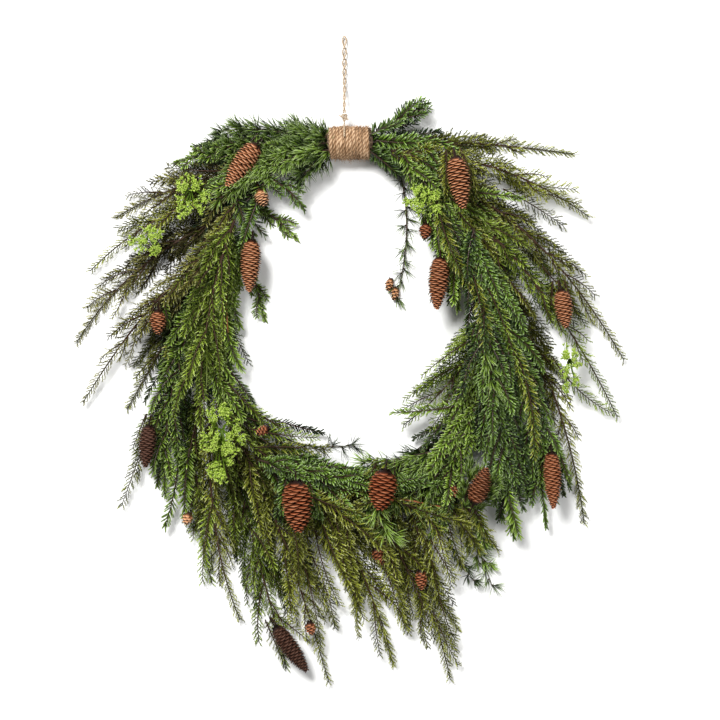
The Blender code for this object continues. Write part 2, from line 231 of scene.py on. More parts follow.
class Pile:
    """Many small shapes gathered into one mesh. A tone is (along, tint), both 0 to 1, which
    the materials read as a map: along runs from a shape's foot to its tip, and tint sets its hue."""

    def __init__(self):
        self.points, self.tones, self.count = [], [], 0
        self.faces = {3: [], 4: []}
        self.slots = {3: [], 4: []}

    def add(self, points, tones, faces, slot=0):
        """Shapes of one make, one for each row of points, with the faces of the first."""
        shapes = len(points)
        points = points.reshape(-1, 3)
        starts = self.count + np.arange(shapes)[:, None, None] * (len(points) // shapes)
        for block in faces:
            sides = block.shape[-1]
            self.faces[sides].append((block + starts).reshape(-1, sides))
            self.slots[sides].append(np.full(shapes * len(block), slot, np.int32))
        self.points.append(points)
        self.tones.append(tones.reshape(-1, 2))
        self.count += len(points)

    def spikes(self, foot, way, length, radius, tint):
        """Three-sided points, as a cypress twig's scale leaves."""
        first, second = across_of(way[:, None])
        ring = foot[:, None] + radius * turned(first, second, np.arange(3) * 2.0 * math.pi / 3.0)
        tip = foot + way * length[:, None]
        tones = np.empty((len(foot), 4, 2))
        tones[:, :, 0] = (0.3, 0.3, 0.3, 1.0)
        tones[:, :, 1] = tint[:, None] + EDGE_TINT * np.array([0.0, 1.0, -1.0, 0.0])
        faces = np.array([[0, 1, 3], [1, 2, 3], [2, 0, 3]])
        self.add(np.concatenate([ring, tip[:, None]], 1), tones, [faces])

    def needles(self, foot, way, flat, length, width, thick, bend, tint):
        """Flat closed needles with a pointed end; flat is the direction of their width."""
        count = len(foot)
        flat = unit(flat - way * (flat * way).sum(1)[:, None])
        face = np.cross(way, flat)
        stations = np.array([0.0, 0.45, 0.86])
        widths = np.array([0.55, 1.0, 0.8])
        middle = foot[:, None] + way[:, None] * (stations * length[:, None])[..., None]
        middle = middle + face[:, None] * ((bend * length)[:, None] * stations**2)[..., None]
        half = flat[:, None] * (0.5 * width[:, None] * widths)[..., None]
        lift = face[:, None] * (0.5 * thick * widths)[:, None]
        rings = np.stack([middle + half, middle + lift, middle - half, middle - lift], 2)
        tip = foot + way * length[:, None] + face * (bend * length)[:, None]
        tones = np.empty((count, 13, 2))
        tones[:, :, 0] = np.append(np.repeat([0.1, 0.5, 0.85], 4), 1.0)
        tones[:, :, 1] = tint[:, None] + EDGE_TINT * np.append(np.tile([1.0, 0.0, -1.0, 0.0], 3), 0.0)
        ends = np.array([[8 + side, 8 + (side + 1) % 4, 12] for side in range(4)])
        points = np.concatenate([rings.reshape(count, 12, 3), tip[:, None]], 1)
        self.add(points, tones, [tube_faces(3, 4), ends])

    def rods(self, rows, radii, tint, tone=(0.0, 1.0), sides=5, slot=0):
        """Round rods along lines, shape (rods, stations, 3). They may share radii and tint."""
        count, stations = rows.shape[:2]
        radii = np.broadcast_to(radii, (count, stations))[..., None, None]
        first, second = across_of(unit(np.gradient(rows, axis=1))[:, :, None])
        turn = np.arange(sides) * 2.0 * math.pi / sides
        points = rows[:, :, None] + radii * turned(first, second, turn)
        tones = np.empty((count, stations, sides, 2))
        tones[..., 0] = np.linspace(*tone, stations)[:, None]
        tones[..., 1] = np.broadcast_to(tint, count)[:, None, None] + EDGE_TINT * np.cos(turn)
        faces = [tube_faces(stations, sides), end_faces((stations - 1) * sides, sides)]
        self.add(points, tones, faces, slot)

    def build(self, name, materials, on_surface=True):
        """One object of all the shapes."""
        points = np.concatenate(self.points)
        tones = np.concatenate(self.tones)
        if on_surface:
            low = points[:, 2] < SOFT
            eased = np.exp((points[low, 2] - SOFT) / (SOFT - LOWEST))
            points[low, 2] = LOWEST + (SOFT - LOWEST) * eased
            # Painted shade: darken the tints of all but the wood low in the wreath and near the ring.
            far = np.abs(np.linalg.norm(points[:, :2] - RING_MIDDLE[:2], axis=1) - RING_RADIUS)
            painted_shade = np.clip(1.0 - points[:, 2] / SHADE_HEIGHT, 0.0, 1.0)
            painted_shade *= np.clip((SHADE_FAR - far) / (SHADE_FAR - SHADE_NEAR), 0.0, 1.0)
            leaf = tones[:, 1] < LEAF_TINT
            tones[leaf, 1] = np.maximum(tones[leaf, 1] - PAINTED_SHADE_CHANGE * painted_shade[leaf], 0.02)
        used = [sides for sides in (3, 4) if self.faces[sides]]
        blocks = [np.concatenate(self.faces[sides]) for sides in used]
        slots = np.concatenate([np.concatenate(self.slots[sides]) for sides in used])
        corners = np.concatenate([block.ravel() for block in blocks]).astype(np.int32)
        totals = np.concatenate([np.full(len(block), block.shape[1]) for block in blocks])
        starts = np.concatenate([[0], np.cumsum(totals)[:-1]])
        mesh = bpy.data.meshes.new(name)
        mesh.vertices.add(len(points))
        mesh.vertices.foreach_set("co", points.astype(np.float32).ravel())
        mesh.loops.add(len(corners))
        mesh.loops.foreach_set("vertex_index", corners)
        mesh.polygons.add(len(totals))
        mesh.polygons.foreach_set("loop_start", starts.astype(np.int32))
        mesh.polygons.foreach_set("loop_total", totals.astype(np.int32))
        mesh.polygons.foreach_set("material_index", slots)
        layer = mesh.uv_layers.new(name=TONE_MAP)
        layer.data.foreach_set("uv", tones[corners].astype(np.float32).ravel())
        for material in materials:
            mesh.materials.append(material)
        mesh.update(calc_edges=True)
        mesh.validate()
        mesh.shade_smooth()
        piece = bpy.data.objects.new(name, mesh)
        scene.collection.objects.link(piece)
        return piece


# ------------------------------------------------------------------ materials


def add_node(tree, kind, **values):
    node = tree.nodes.new(kind)
    for name, value in values.items():
        setattr(node, name, value)
    return node


def ramp_of(tree, factor, places, colours):
    """A Color Ramp fed by factor, with a colour at each place."""
    ramp = add_node(tree, "ShaderNodeValToRGB")
    elements = ramp.color_ramp.elements
    while len(elements) < len(places):
        elements.new(0.5)
    for element, place, colour in zip(elements, places, colours):
        element.position = place
        element.color = (*colour, 1.0)
    tree.links.new(factor, ramp.inputs["Fac"])
    return ramp.outputs["Color"]


def mix_colours(tree, factor, first, second):
    mix = add_node(tree, "ShaderNodeMix", data_type="RGBA")
    for name, socket in (("Factor", factor), ("A", first), ("B", second)):
        tree.links.new(socket, mix.inputs[name])
    return mix.outputs["Result"]


def tone_sockets(tree):
    """The along and tint sockets of a mesh's tone map."""
    tones = add_node(tree, "ShaderNodeUVMap", uv_map=TONE_MAP)
    split = add_node(tree, "ShaderNodeSeparateXYZ")
    tree.links.new(tones.outputs["UV"], split.inputs["Vector"])
    return split.outputs["X"], split.outputs["Y"]


def leaf_material(name, places, fresh, dark_and_shaded, roughness, gloss=0.12):
    """Two hues mixed by tint, each with its colours at places from foot to tip, and wood where the tint says
    so. The low-tint hue is the darker one, and it also carries painted shade wherever tints are lowered for
    it."""
    material, tree, shader = new_material(name)
    along, tint = tone_sockets(tree)
    hue = add_node(tree, "ShaderNodeMapRange")
    hue.inputs["From Max"].default_value = LEAF_TINT
    tree.links.new(tint, hue.inputs["Value"])
    hues = [ramp_of(tree, along, places, colours) for colours in (dark_and_shaded, fresh)]
    leaves = mix_colours(tree, hue.outputs["Result"], *hues)
    is_wood = add_node(tree, "ShaderNodeMath", operation="GREATER_THAN")
    is_wood.inputs[1].default_value = WOOD_FROM
    tree.links.new(tint, is_wood.inputs[0])
    colour = mix_colours(tree, is_wood.outputs[0], leaves, ramp_of(tree, along, WOOD_PLACES, WOOD_COLOURS))
    tree.links.new(colour, shader.inputs["Base Color"])
    shader.inputs["Roughness"].default_value = roughness
    shader.inputs["Specular IOR Level"].default_value = gloss
    return material


def leaf_colours(colour, highlight_tip):
    """From a leaf's foot, darkened as painted shade, through its colour to its tip, lightened as a painted
    highlight, at LEAF_PLACES.
    """
    return [tuple(channel * share for channel in colour) for share in (0.04, 0.28, 1.08)] + [highlight_tip]


def leaf_family(hues, roughness, gloss):
    return [
        leaf_material(name, LEAF_PLACES, leaf_colours(young, highlight_tip), leaf_colours(dark_and_shaded, dark_highlight_tip), roughness, gloss)
        for name, (young, highlight_tip, dark_and_shaded, dark_highlight_tip) in hues.items()
    ]


WOOD_PLACES = (0.0, 0.6, 1.0)
WOOD_COLOURS = ((0.035, 0.019, 0.012), (0.055, 0.030, 0.020), (0.04, 0.045, 0.010))
LEAF_PLACES = (0.0, 0.34, 0.68, 1.0)
# Each kind of greenery grows in a few hues: a young leaf's colour and its tip's painted highlight, then the
# same for the dark hue, which also carries painted shade.
CYPRESS_HUES = {
    "cypress_green": ((0.39, 0.54, 0.06), (0.90, 0.96, 0.50), (0.018, 0.032, 0.002), (0.08, 0.12, 0.015)),
    "cypress_olive": ((0.41, 0.45, 0.055), (0.96, 0.96, 0.54), (0.026, 0.030, 0.003), (0.11, 0.12, 0.02)),
    "cypress_brown": ((0.32, 0.31, 0.065), (0.76, 0.76, 0.44), (0.022, 0.019, 0.006), (0.08, 0.07, 0.03)),
}
FIR_HUES = {
    "fir_deep": ((0.19, 0.33, 0.035), (0.60, 0.76, 0.38), (0.005, 0.015, 0.003), (0.03, 0.06, 0.02)),
    "fir_green": ((0.27, 0.43, 0.04), (0.70, 0.82, 0.36), (0.009, 0.022, 0.002), (0.04, 0.08, 0.015)),
}
PINE_HUES = {
    "pine_leaf": ((0.29, 0.46, 0.055), (0.70, 0.84, 0.42), (0.013, 0.032, 0.003), (0.05, 0.09, 0.02)),
}
cypress_leaves = leaf_family(CYPRESS_HUES, 0.45, 0.06)
fir_leaves = leaf_family(FIR_HUES, 0.3, 0.25)
pine_leaf = leaf_family(PINE_HUES, 0.35, 0.2)[0]
# The cone ramps run from a near-black foot, painted shade where the scales overlap, to a bright rim, a
# painted highlight.
cone_scale = leaf_material(
    "cone_scale", (0.0, 0.55, 0.74, 0.88, 0.96, 1.0),
    ((0.010, 0.004, 0.002), (0.035, 0.012, 0.005), (0.24, 0.082, 0.032), (0.54, 0.23, 0.105),
     (0.86, 0.50, 0.31), (0.60, 0.34, 0.20)),
    ((0.005, 0.002, 0.001), (0.014, 0.004, 0.002), (0.075, 0.014, 0.004), (0.21, 0.042, 0.013),
     (0.50, 0.155, 0.062), (0.32, 0.09, 0.035)),
    0.5,
)
cone_tan = leaf_material(
    "cone_tan_scale", (0.0, 0.45, 0.72, 1.0),
    ((0.02, 0.008, 0.003), (0.09, 0.034, 0.013), (0.44, 0.19, 0.08), (0.86, 0.52, 0.30)),
    ((0.01, 0.004, 0.002), (0.05, 0.02, 0.009), (0.22, 0.09, 0.04), (0.50, 0.28, 0.17)),
    0.5,
)
cone_dark = leaf_material(
    "cone_dark_scale", (0.0, 0.6, 0.85, 1.0),
    ((0.006, 0.003, 0.002), (0.03, 0.012, 0.008), (0.10, 0.045, 0.028), (0.27, 0.15, 0.11)),
    ((0.003, 0.001, 0.001), (0.012, 0.005, 0.003), (0.05, 0.022, 0.014), (0.15, 0.08, 0.055)),
    0.5,
)
seed_bud = leaf_material(
    "seed_bud", (0.0, 0.45, 1.0),
    ((0.08, 0.14, 0.008), (0.36, 0.52, 0.04), (0.72, 0.82, 0.26)),
    ((0.02, 0.045, 0.003), (0.12, 0.22, 0.012), (0.34, 0.48, 0.07)),
    0.4,
)
# Jute and twine ramps: dark where the rope has its grooves, as painted shade, to light on the plies' crests.
jute_fibre = leaf_material(
    "jute_fibre", (0.0, 0.45, 0.8, 1.0),
    ((0.07, 0.034, 0.012), (0.29, 0.16, 0.075), (0.55, 0.34, 0.185), (0.74, 0.54, 0.35)),
    ((0.025, 0.012, 0.005), (0.13, 0.068, 0.032), (0.29, 0.17, 0.095), (0.48, 0.32, 0.20)),
    0.85, 0.15,
)
twine_fibre = leaf_material(
    "twine_fibre", (0.0, 0.45, 0.8, 1.0),
    ((0.12, 0.08, 0.05), (0.38, 0.28, 0.18), (0.56, 0.44, 0.31), (0.70, 0.58, 0.43)),
    ((0.06, 0.036, 0.02), (0.24, 0.165, 0.10), (0.40, 0.29, 0.19), (0.52, 0.40, 0.28)),
    0.85, 0.15,
)


def patterned_material(name, dark, light, roughness, scale, stretch=(1.0, 1.0, 1.0)):
    """A hard surface mottled by stretched noise."""
    material, tree, shader = new_material(name)
    place = add_node(tree, "ShaderNodeTexCoord")
    mapping = add_node(tree, "ShaderNodeMapping")
    mapping.inputs["Scale"].default_value = stretch
    noise = add_node(tree, "ShaderNodeTexNoise")
    noise.inputs["Scale"].default_value = scale
    noise.inputs["Detail"].default_value = 6.0
    tree.links.new(place.outputs["Object"], mapping.inputs["Vector"])
    tree.links.new(mapping.outputs["Vector"], noise.inputs["Vector"])
    colour = ramp_of(tree, noise.outputs["Fac"], (0.3, 0.7), (dark, light))
    tree.links.new(colour, shader.inputs["Base Color"])
    shader.inputs["Roughness"].default_value = roughness
    return material


painted_wire = patterned_material(
    "painted_wire", (0.010, 0.035, 0.018), (0.022, 0.07, 0.035), 0.35, 120.0
)
tie_wire_enamel = patterned_material(
    "tie_wire_enamel", (0.014, 0.028, 0.012), (0.035, 0.06, 0.028), 0.3, 400.0
)
bark_wood = patterned_material(
    "bark_wood", (0.045, 0.024, 0.012), (0.16, 0.10, 0.06), 0.8, 160.0, (0.15, 1.0, 1.0)
)

# ------------------------------------------------------------------ the CAD solids' lines


def random_for(name):
    return np.random.default_rng(zlib.crc32(name.encode()))


def vertices_of(name):
    mesh = NODES[name].data
    points = np.empty(len(mesh.vertices) * 3)
    mesh.vertices.foreach_get("co", points)
    return np.unique(points.reshape(-1, 3).round(5), axis=0)


class Spine:
    """The middle line of a spray's CAD solid from cut foot to tip, with its half width."""

    def __init__(self, name):
        self.name = name
        points = vertices_of(name)
        flat = points[:, :2]
        gaps = np.linalg.norm(flat[:, None] - flat[None], axis=2)
        one, other = np.unravel_index(gaps.argmax(), gaps.shape)
        chord = unit(flat[other] - flat[one])
        square = left_of(chord)
        along = (flat - flat[one]) @ chord
        aside = (flat - flat[one]) @ square
        span = along.max() - along.min()
        ends = [np.abs(along - end) < 0.045 * span for end in (along.min(), along.max())]
        widths = [np.ptp(aside[near]) for near in ends]
        if widths[0] < widths[1]:  # the tip is the narrow end
            chord, along = -chord, -along
        start = along.min()
        share = (along - start) / span
        curve = np.polyfit(share, aside, 3)
        heights = np.polyfit(share, points[:, 2], 4)
        self.width = np.abs(aside - np.polyval(curve, share)).max()
        step = np.linspace(0.0, 1.0, 65)
        line = flat[one] + chord * (start + step * span)[:, None] + square * np.polyval(curve, step)[:, None]
        self.points = np.column_stack([line, np.polyval(heights, step)])
        self.length = length_of(self.points)

    def at(self, distance):
        """Points and unit directions at these distances from the foot."""
        return along_line(self.points, distance)

    def row(self, count):
        """This many points from foot to tip."""
        return self.at(np.linspace(0.0, self.length, count))[0]

    def half_width(self, distance):
        """Full near the foot, where real branches are bushy, and pointed at the tip."""
        share = distance / self.length
        full = self.width * (0.8 + 0.2 * np.minimum(share / 0.4, 1.0))
        return full * (1.0 - 0.8 * np.clip((share - 0.5) / 0.5, 0.0, 1.0) ** 1.7)


# ------------------------------------------------------------------ greenery

LEAF_SPACING = 2.7 * MM
NEEDLE_SPACING = 1.35 * MM


def tilted(rng, spread):
    """An upward direction leaning at random, which a frond's flat side faces."""
    return unit(UP + rng.normal(0.0, spread, 3))


def leaf_tints(rng, tint, count, spread):
    return np.clip(tint + rng.normal(0.0, spread, count), 0.01, LEAF_TINT)


def shoot_tint(tint):
    return float(np.clip(tint, 0.02, 0.78))


def cypress_frond(pile, line, half_width, rng, tint, lean, wood=True):
    """A narrow feathery frond: an axis with alternate branchlets, each forked into scale leaves."""
    stem_tint = BARK_TINT if wood else tint
    pile.rods(line[None], np.linspace(1.0, 0.5, len(line)) * MM, stem_tint, tone=(0.2, 1.0), sides=4)
    length = length_of(line)
    count = max(int(length / LEAF_SPACING), 5)
    distance = spaced(rng, length, count)
    base, heading = along_line(line, distance)
    aside = unit(np.cross(heading, lean))
    over = np.cross(aside, heading)
    side = alternating(count)
    share = distance / length
    turn = np.radians(rng.normal(46.0, 7.0, count) - 14.0 * share**2)
    lift = rng.normal(0.15, 0.35, count)
    way = unit(turned(heading, aside * side[:, None] + over * lift[:, None], turn))
    narrowing = 1.0 - 0.5 * np.clip((share - 0.4) / 0.6, 0.0, 1.0) ** 2.0
    reach = half_width * narrowing * np.minimum(0.55 + 2.0 * share, 1.0)
    size = np.maximum(reach / math.sin(math.radians(44.0)), 4.0 * MM) * rng.uniform(0.65, 1.2, count)
    tints = leaf_tints(rng, tint, count, 0.15)
    width = rng.uniform(1.05, 1.45, count) * MM
    pile.needles(base, way, aside, size, width, 0.8 * MM, rng.normal(0.0, 0.09, count), tints)
    forks = 4
    spot = np.linspace(0.22, 0.8, forks)
    fork_side = (alternating(forks) * side[:, None])[..., None]
    foot = base[:, None] + way[:, None] * (spot * size[:, None])[..., None]
    spread = np.radians(rng.normal(33.0, 8.0, (count, forks)))
    fork_way = turned(way[:, None], np.cross(way, over)[:, None] * fork_side, spread)
    fork_way = unit(fork_way + over[:, None] * rng.normal(0.1, 0.22, (count, forks))[..., None])
    fork_size = np.maximum(size[:, None] * (0.42 - 0.18 * spot), 2.0 * MM)
    fork_size = fork_size * rng.uniform(0.8, 1.3, (count, forks))
    fork_tints = leaf_tints(rng, np.repeat(tints, forks), count * forks, 0.08)
    pile.spikes(foot.reshape(-1, 3), fork_way.reshape(-1, 3), fork_size.ravel(), 0.55 * MM, fork_tints)


def fir_sprig(pile, line, rng, tint, needle, lean, thick):
    """A twig with flat needles on both sides and on top."""
    pile.rods(line[None], np.linspace(thick, 0.5 * thick, len(line)), BARK_TINT, sides=4)
    length = length_of(line)
    count = max(int(length / NEEDLE_SPACING), 12)
    distance = spaced(rng, length, count, 0.0, 1.0)
    foot, heading = along_line(line, distance)
    aside = unit(np.cross(heading, lean))
    over = np.cross(aside, heading)
    roll = np.abs(rng.normal(0.0, 0.55, count))
    out = turned(aside * alternating(count)[:, None], over, roll)
    share = distance / length
    turn = np.radians(rng.normal(55.0, 8.0, count) - 30.0 * share**3)
    way = unit(turned(heading, out, turn))
    size = needle * rng.uniform(0.75, 1.15, count) * (1.0 - 0.35 * share**4)
    flat = np.cross(way, over) + rng.normal(0.0, 0.3, (count, 3))
    width = rng.uniform(1.7, 2.3, count) * MM
    bend = rng.normal(0.08, 0.07, count)
    pile.needles(foot, way, flat, size, width, 0.6 * MM, bend, leaf_tints(rng, tint, count, 0.13))


def pine_tufts(pile, line, rng, tint, needle, thick, spacing=8.0 * MM, per=12, fine=1.0, ahead_share=0.45):
    """A knobbly twig with tufts of long thin needles."""
    pile.rods(line[None], np.linspace(thick, 0.55 * thick, len(line)), BARK_TINT)
    length = length_of(line)
    count = max(int(length / spacing), 2)
    distance = np.append(spaced(rng, length, count), length * 0.99)
    foot, heading = along_line(line, distance)
    out = turned(*across_of(heading), rng.uniform(0.0, 2.0 * math.pi, len(distance)))
    out[:, 2] = np.abs(out[:, 2]) * 0.7
    spur = unit(heading * 0.55 + out)
    spur_end = foot + spur * 3.0 * MM
    pile.rods(np.stack([foot, spur_end], 1), np.array([1.0, 1.3]) * MM, BARK_TINT, sides=4)
    base, lead, ahead = (np.repeat(rows, per, 0) for rows in (spur_end, spur, heading))
    way = unit(lead * 0.7 + ahead * ahead_share + rng.normal(0.0, 0.45, (len(base), 3)))
    rows = bent_line(base, way, ahead, needle * rng.uniform(0.65, 1.15, len(base)), 4, 0.25)
    radii = fine * np.array([0.42, 0.50, 0.44, 0.12]) * MM
    pile.rods(rows, radii, leaf_tints(rng, tint, len(base), 0.15), sides=4)


def side_lines(spine, rng, spacing, angle, widen, roll_spread, drop, stop, steps=9):
    """Side branches that leave the main stem at a small angle and bend to run along it, each a
    line. They grow up to stop, and drop lowers or lifts a whole layer of them."""
    count = max(int(spine.length * stop / spacing), 3)
    distance = spaced(rng, spine.length * stop, count, 0.1, 0.9)
    foot, way = spine.at(distance)
    aside = unit(np.cross(way, UP))
    out = turned(aside * alternating(count)[:, None], UP, rng.normal(0.0, roll_spread, count))
    heading = unit(turned(way, out, np.radians(rng.normal(angle, 5.0, count))))
    reach = widen * WIDEN.get(spine.name, 1.0) * spine.half_width(distance) / math.sin(math.radians(angle))
    reach = reach * 1.35 * rng.uniform(0.7, 1.2, count)
    length = np.minimum(reach, (spine.length - distance) * rng.uniform(0.6, 0.95, count))
    length = np.clip(length, 16.0 * MM, 0.5 * spine.length)
    ahead = spine.at(np.minimum(distance + length, spine.length))[1]
    lines = bent_line(foot, heading, ahead, length, steps, 0.85)
    lift = np.linspace(0.0, 1.0, steps) ** 0.7
    lines[:, :, 2] += (drop + rng.normal(0.0, 2.0 * MM, count))[:, None] * lift
    return lines


# Layers of side branches from the lowest up: spacing, angle, widening, roll, drop, how their tint differs,
# and how far up the stem they grow. The tints are painted shade: the lower layers are darker, and the two
# lowest cypress layers' stems take their leaves' tint instead of bark's.
CYPRESS_LAYERS = (
    (15.0 * MM, 32.0, 1.1, 0.5, -8.0 * MM, -0.5, 0.5),
    (18.0 * MM, 32.0, 1.05, 0.35, -2.0 * MM, -0.3, 0.6),
    (22.0 * MM, 30.0, 1.0, 0.4, 3.0 * MM, 0.08, 0.72),
    (34.0 * MM, 26.0, 0.7, 0.7, 7.0 * MM, 0.25, 0.55),
)
FIR_LAYERS = (
    (17.0 * MM, 36.0, 1.1, 0.5, -7.0 * MM, -0.4, 0.75),
    (15.0 * MM, 34.0, 1.0, 0.4, 0.0, -0.08, 0.86),
    (20.0 * MM, 30.0, 0.8, 0.6, 6.0 * MM, 0.12, 0.8),
)
SMALL_FIR_LAYERS = ((15.0 * MM, 34.0, 1.1, 0.4, 0.0, 0.0, 0.7),)
LARGE_FIR = 16.0 * MM  # half width above which a fir spray has all its layers
LARGE_PINE = 18.0 * MM  # half width above which a pine spray has side branches
# Thin open needles: length, twig, spacing, needles in a tuft, fineness and how they lean ahead.
OPEN_PINE = (20.0 * MM, 1.2 * MM, 8.5 * MM, 8, 0.75, 0.2)


def grow_cypress(name):
    rng = random_for(name)
    spine = Spine(name)
    pile = Pile()
    base_tint = rng.uniform(0.3, 0.55)
    stem = spine.row(18)
    pile.rods(stem[None], np.linspace(2.2, 0.7, 18) * MM, BARK_TINT, sides=6)
    cypress_frond(pile, stem, 13.0 * MM, rng, base_tint + 0.05, UP)
    for *layer, change, stop in CYPRESS_LAYERS:
        for line in side_lines(spine, rng, *layer, stop):
            tint = shoot_tint(base_tint + change + rng.normal(0.0, 0.2))
            half_width = rng.uniform(8.0, 12.0) * MM
            # Painted shade: the lowest layers' stems take their dark leaf tint instead of bark's.
            cypress_frond(pile, line, half_width, rng, tint, tilted(rng, 0.4), wood=change > -0.2)
    for line, change, half_width in COVER.get(name, ()):
        cypress_frond(pile, line, half_width, rng, shoot_tint(base_tint + change), tilted(rng, 0.4))
    grow_little_cones(pile, spine, rng)
    grow_red_stems(pile, spine, rng)
    leaves = cypress_leaves[CYPRESS_HUE.get(name, rng.integers(2))]
    return pile.build(name + "_foliage", [leaves, cone_scale])


def grow_fir(name):
    rng = random_for(name)
    spine = Spine(name)
    pile = Pile()
    base_tint = rng.uniform(0.36, 0.56)
    large = spine.width > LARGE_FIR
    needle = (12.5 if large else 10.5) * MM
    fir_sprig(pile, spine.row(16), rng, base_tint, needle, UP, 1.7 * MM)
    for *layer, change, stop in FIR_LAYERS if large else SMALL_FIR_LAYERS:
        for line in side_lines(spine, rng, *layer, stop, steps=7):
            tint = shoot_tint(base_tint + change + rng.normal(0.0, 0.1))
            fir_sprig(pile, line, rng, tint, needle * rng.uniform(0.8, 1.0), tilted(rng, 0.35), 1.1 * MM)
    for line, change, half_width in COVER.get(name, ()):
        tint = shoot_tint(base_tint + change)
        fir_sprig(pile, line, rng, tint, 1.15 * half_width, tilted(rng, 0.3), 1.2 * MM)
    grow_little_cones(pile, spine, rng)
    cone = cone_tan if name == "fir_spray_left_low" else cone_scale
    return pile.build(name + "_foliage", [fir_leaves[rng.integers(2)], cone])


def grow_pine(name):
    rng = random_for(name)
    spine = Spine(name)
    pile = Pile()
    base_tint = rng.uniform(0.3, 0.45)
    large = spine.width > LARGE_PINE
    if large and name != "pine_spray_bottom":
        pine_tufts(pile, spine.row(16), rng, base_tint, 17.0 * MM, 1.5 * MM)
    else:
        pine_tufts(pile, spine.row(16), rng, base_tint, *OPEN_PINE)
    if large:
        for line in side_lines(spine, rng, 16.0 * MM, 32.0, 1.0, 0.5, 2.0 * MM, 0.85, steps=6):
            tint = shoot_tint(base_tint + rng.normal(0.0, 0.12))
            pine_tufts(pile, line, rng, tint, 15.0 * MM, 1.0 * MM)
    for line, change, half_width in COVER.get(name, ()):
        pine_tufts(pile, line, rng, shoot_tint(base_tint + change), 1.9 * half_width, 1.1 * MM)
    if name == "larch_twig_inner":
        end = spine.points[-1]
        for aside, rise in ((-12.0, 12.0), (-4.0, -1.0)):
            tip = end + np.array([aside, rise, 4.0]) * MM
            foot = tip + np.array([4.0, 15.0, -1.0]) * MM
            grow_cone(pile, foot, tip, SMALL_CONE, 7.0 * MM, rng, 0.8, 5, 3.4 * MM, slot=1)
    return pile.build(name + "_foliage", [pine_leaf, cone_tan])


# Hues of the sprays that stand out, by their place in CYPRESS_HUES; the others fall by chance.
CYPRESS_HUE = {
    "cypress_spray_left_1": 2, "cypress_spray_left_2": 1, "cypress_spray_left_3": 2,
    "cypress_spray_left_4": 2, "cypress_spray_left_6": 0,
    "cypress_spray_low_left_1": 0, "cypress_spray_low_left_2": 1,
    "cypress_spray_low_left_3": 0, "cypress_spray_low_left_4": 1,
    "cypress_spray_right_1": 1, "cypress_spray_right_3": 1,
    "cypress_spray_bottom_1": 1, "cypress_spray_bottom_2": 1,
}
# Little cones that grow in the greenery: the spray, the cone's middle from the ring's middle in
# millimetres, its tip's heading in degrees, length and radius in millimetres, and its hue.
LITTLE_CONES = (
    ("fir_spray_left_low", (-228, -299), 250, 14, 8.0, 0.8),
    ("cypress_spray_low_left_4", (-55, -452), 280, 17, 8.0, 0.45),
    ("cypress_spray_bottom_1", (42, -352), 300, 25, 9.5, 0.25),
    ("cypress_spray_bottom_2", (100, -384), 275, 26, 9.0, 0.25),
    ("cypress_spray_inner_right", (143, -261), 250, 22, 8.5, 0.3),
    ("fir_spray_bottom", (-121, -173), 200, 17, 7.5, 0.3),
)


# Bare reddish stems: the spray, the ends from the ring's middle and the radius in millimetres.
RED_STEMS = (
    ("cypress_spray_bottom_2", (56, -266), (126, -280), 1.5),
    ("cypress_spray_left_2", (-172, 48), (-170, -38), 1.1),
)


def height_over(spine, place):
    """The height of something that lies on a spray's greenery at this place."""
    nearest = np.linalg.norm(spine.points[:, :2] - place, axis=1).argmin()
    return spine.points[nearest, 2] + 17.0 * MM


def grow_red_stems(pile, spine, rng):
    for _, start, end, radius in (row for row in RED_STEMS if row[0] == spine.name):
        share = np.linspace(0.0, 1.0, 9)[:, None]
        line = RING_MIDDLE[:2] + (np.array(start) * (1.0 - share) + np.array(end) * share) * MM
        height = max(height_over(spine, place) for place in line)
        height = height + 2.0 * MM * np.sin(math.pi * share[:, 0])
        line = np.column_stack([line, height]) + rng.normal(0.0, 0.4 * MM, (9, 3))
        pile.rods(line[None], np.linspace(radius, 0.6 * radius, 9) * MM, 0.4, tone=(0.84, 0.87), slot=1)


def grow_little_cones(pile, spine, rng):
    for _, place, heading, length, radius, tint in (row for row in LITTLE_CONES if row[0] == spine.name):
        place = RING_MIDDLE[:2] + np.array(place) * MM
        middle = np.append(place, height_over(spine, place))
        half = 0.5 * length * MM * np.append(flat_way(math.radians(heading)), -0.15)
        grow_cone(pile, middle - half, middle + half, SMALL_CONE, radius * MM, rng, tint, 6, 3.4 * MM, slot=1)


# How much wider or narrower a spray's side branches reach than its solid says.
WIDEN = {
    "fir_spray_left_inner": 0.35, "fir_spray_bottom": 0.5,
    "fir_spray_low_right": 0.7, "fir_spray_upper_left": 0.5,
    "pine_spray_top_left": 0.35, "pine_spray_bottom": 0.4,
    "cypress_spray_right_1": 0.45, "cypress_spray_right_2": 0.65, "cypress_spray_right_3": 0.7,
    "cypress_spray_right_4": 0.5, "cypress_spray_right_5": 0.65,
    "cypress_spray_left_1": 0.85, "cypress_spray_left_2": 0.7, "cypress_spray_left_3": 0.85,
    "cypress_spray_left_4": 0.9, "cypress_spray_left_5": 0.95,
    "cypress_spray_low_left_1": 0.45, "cypress_spray_low_left_2": 0.65,
}


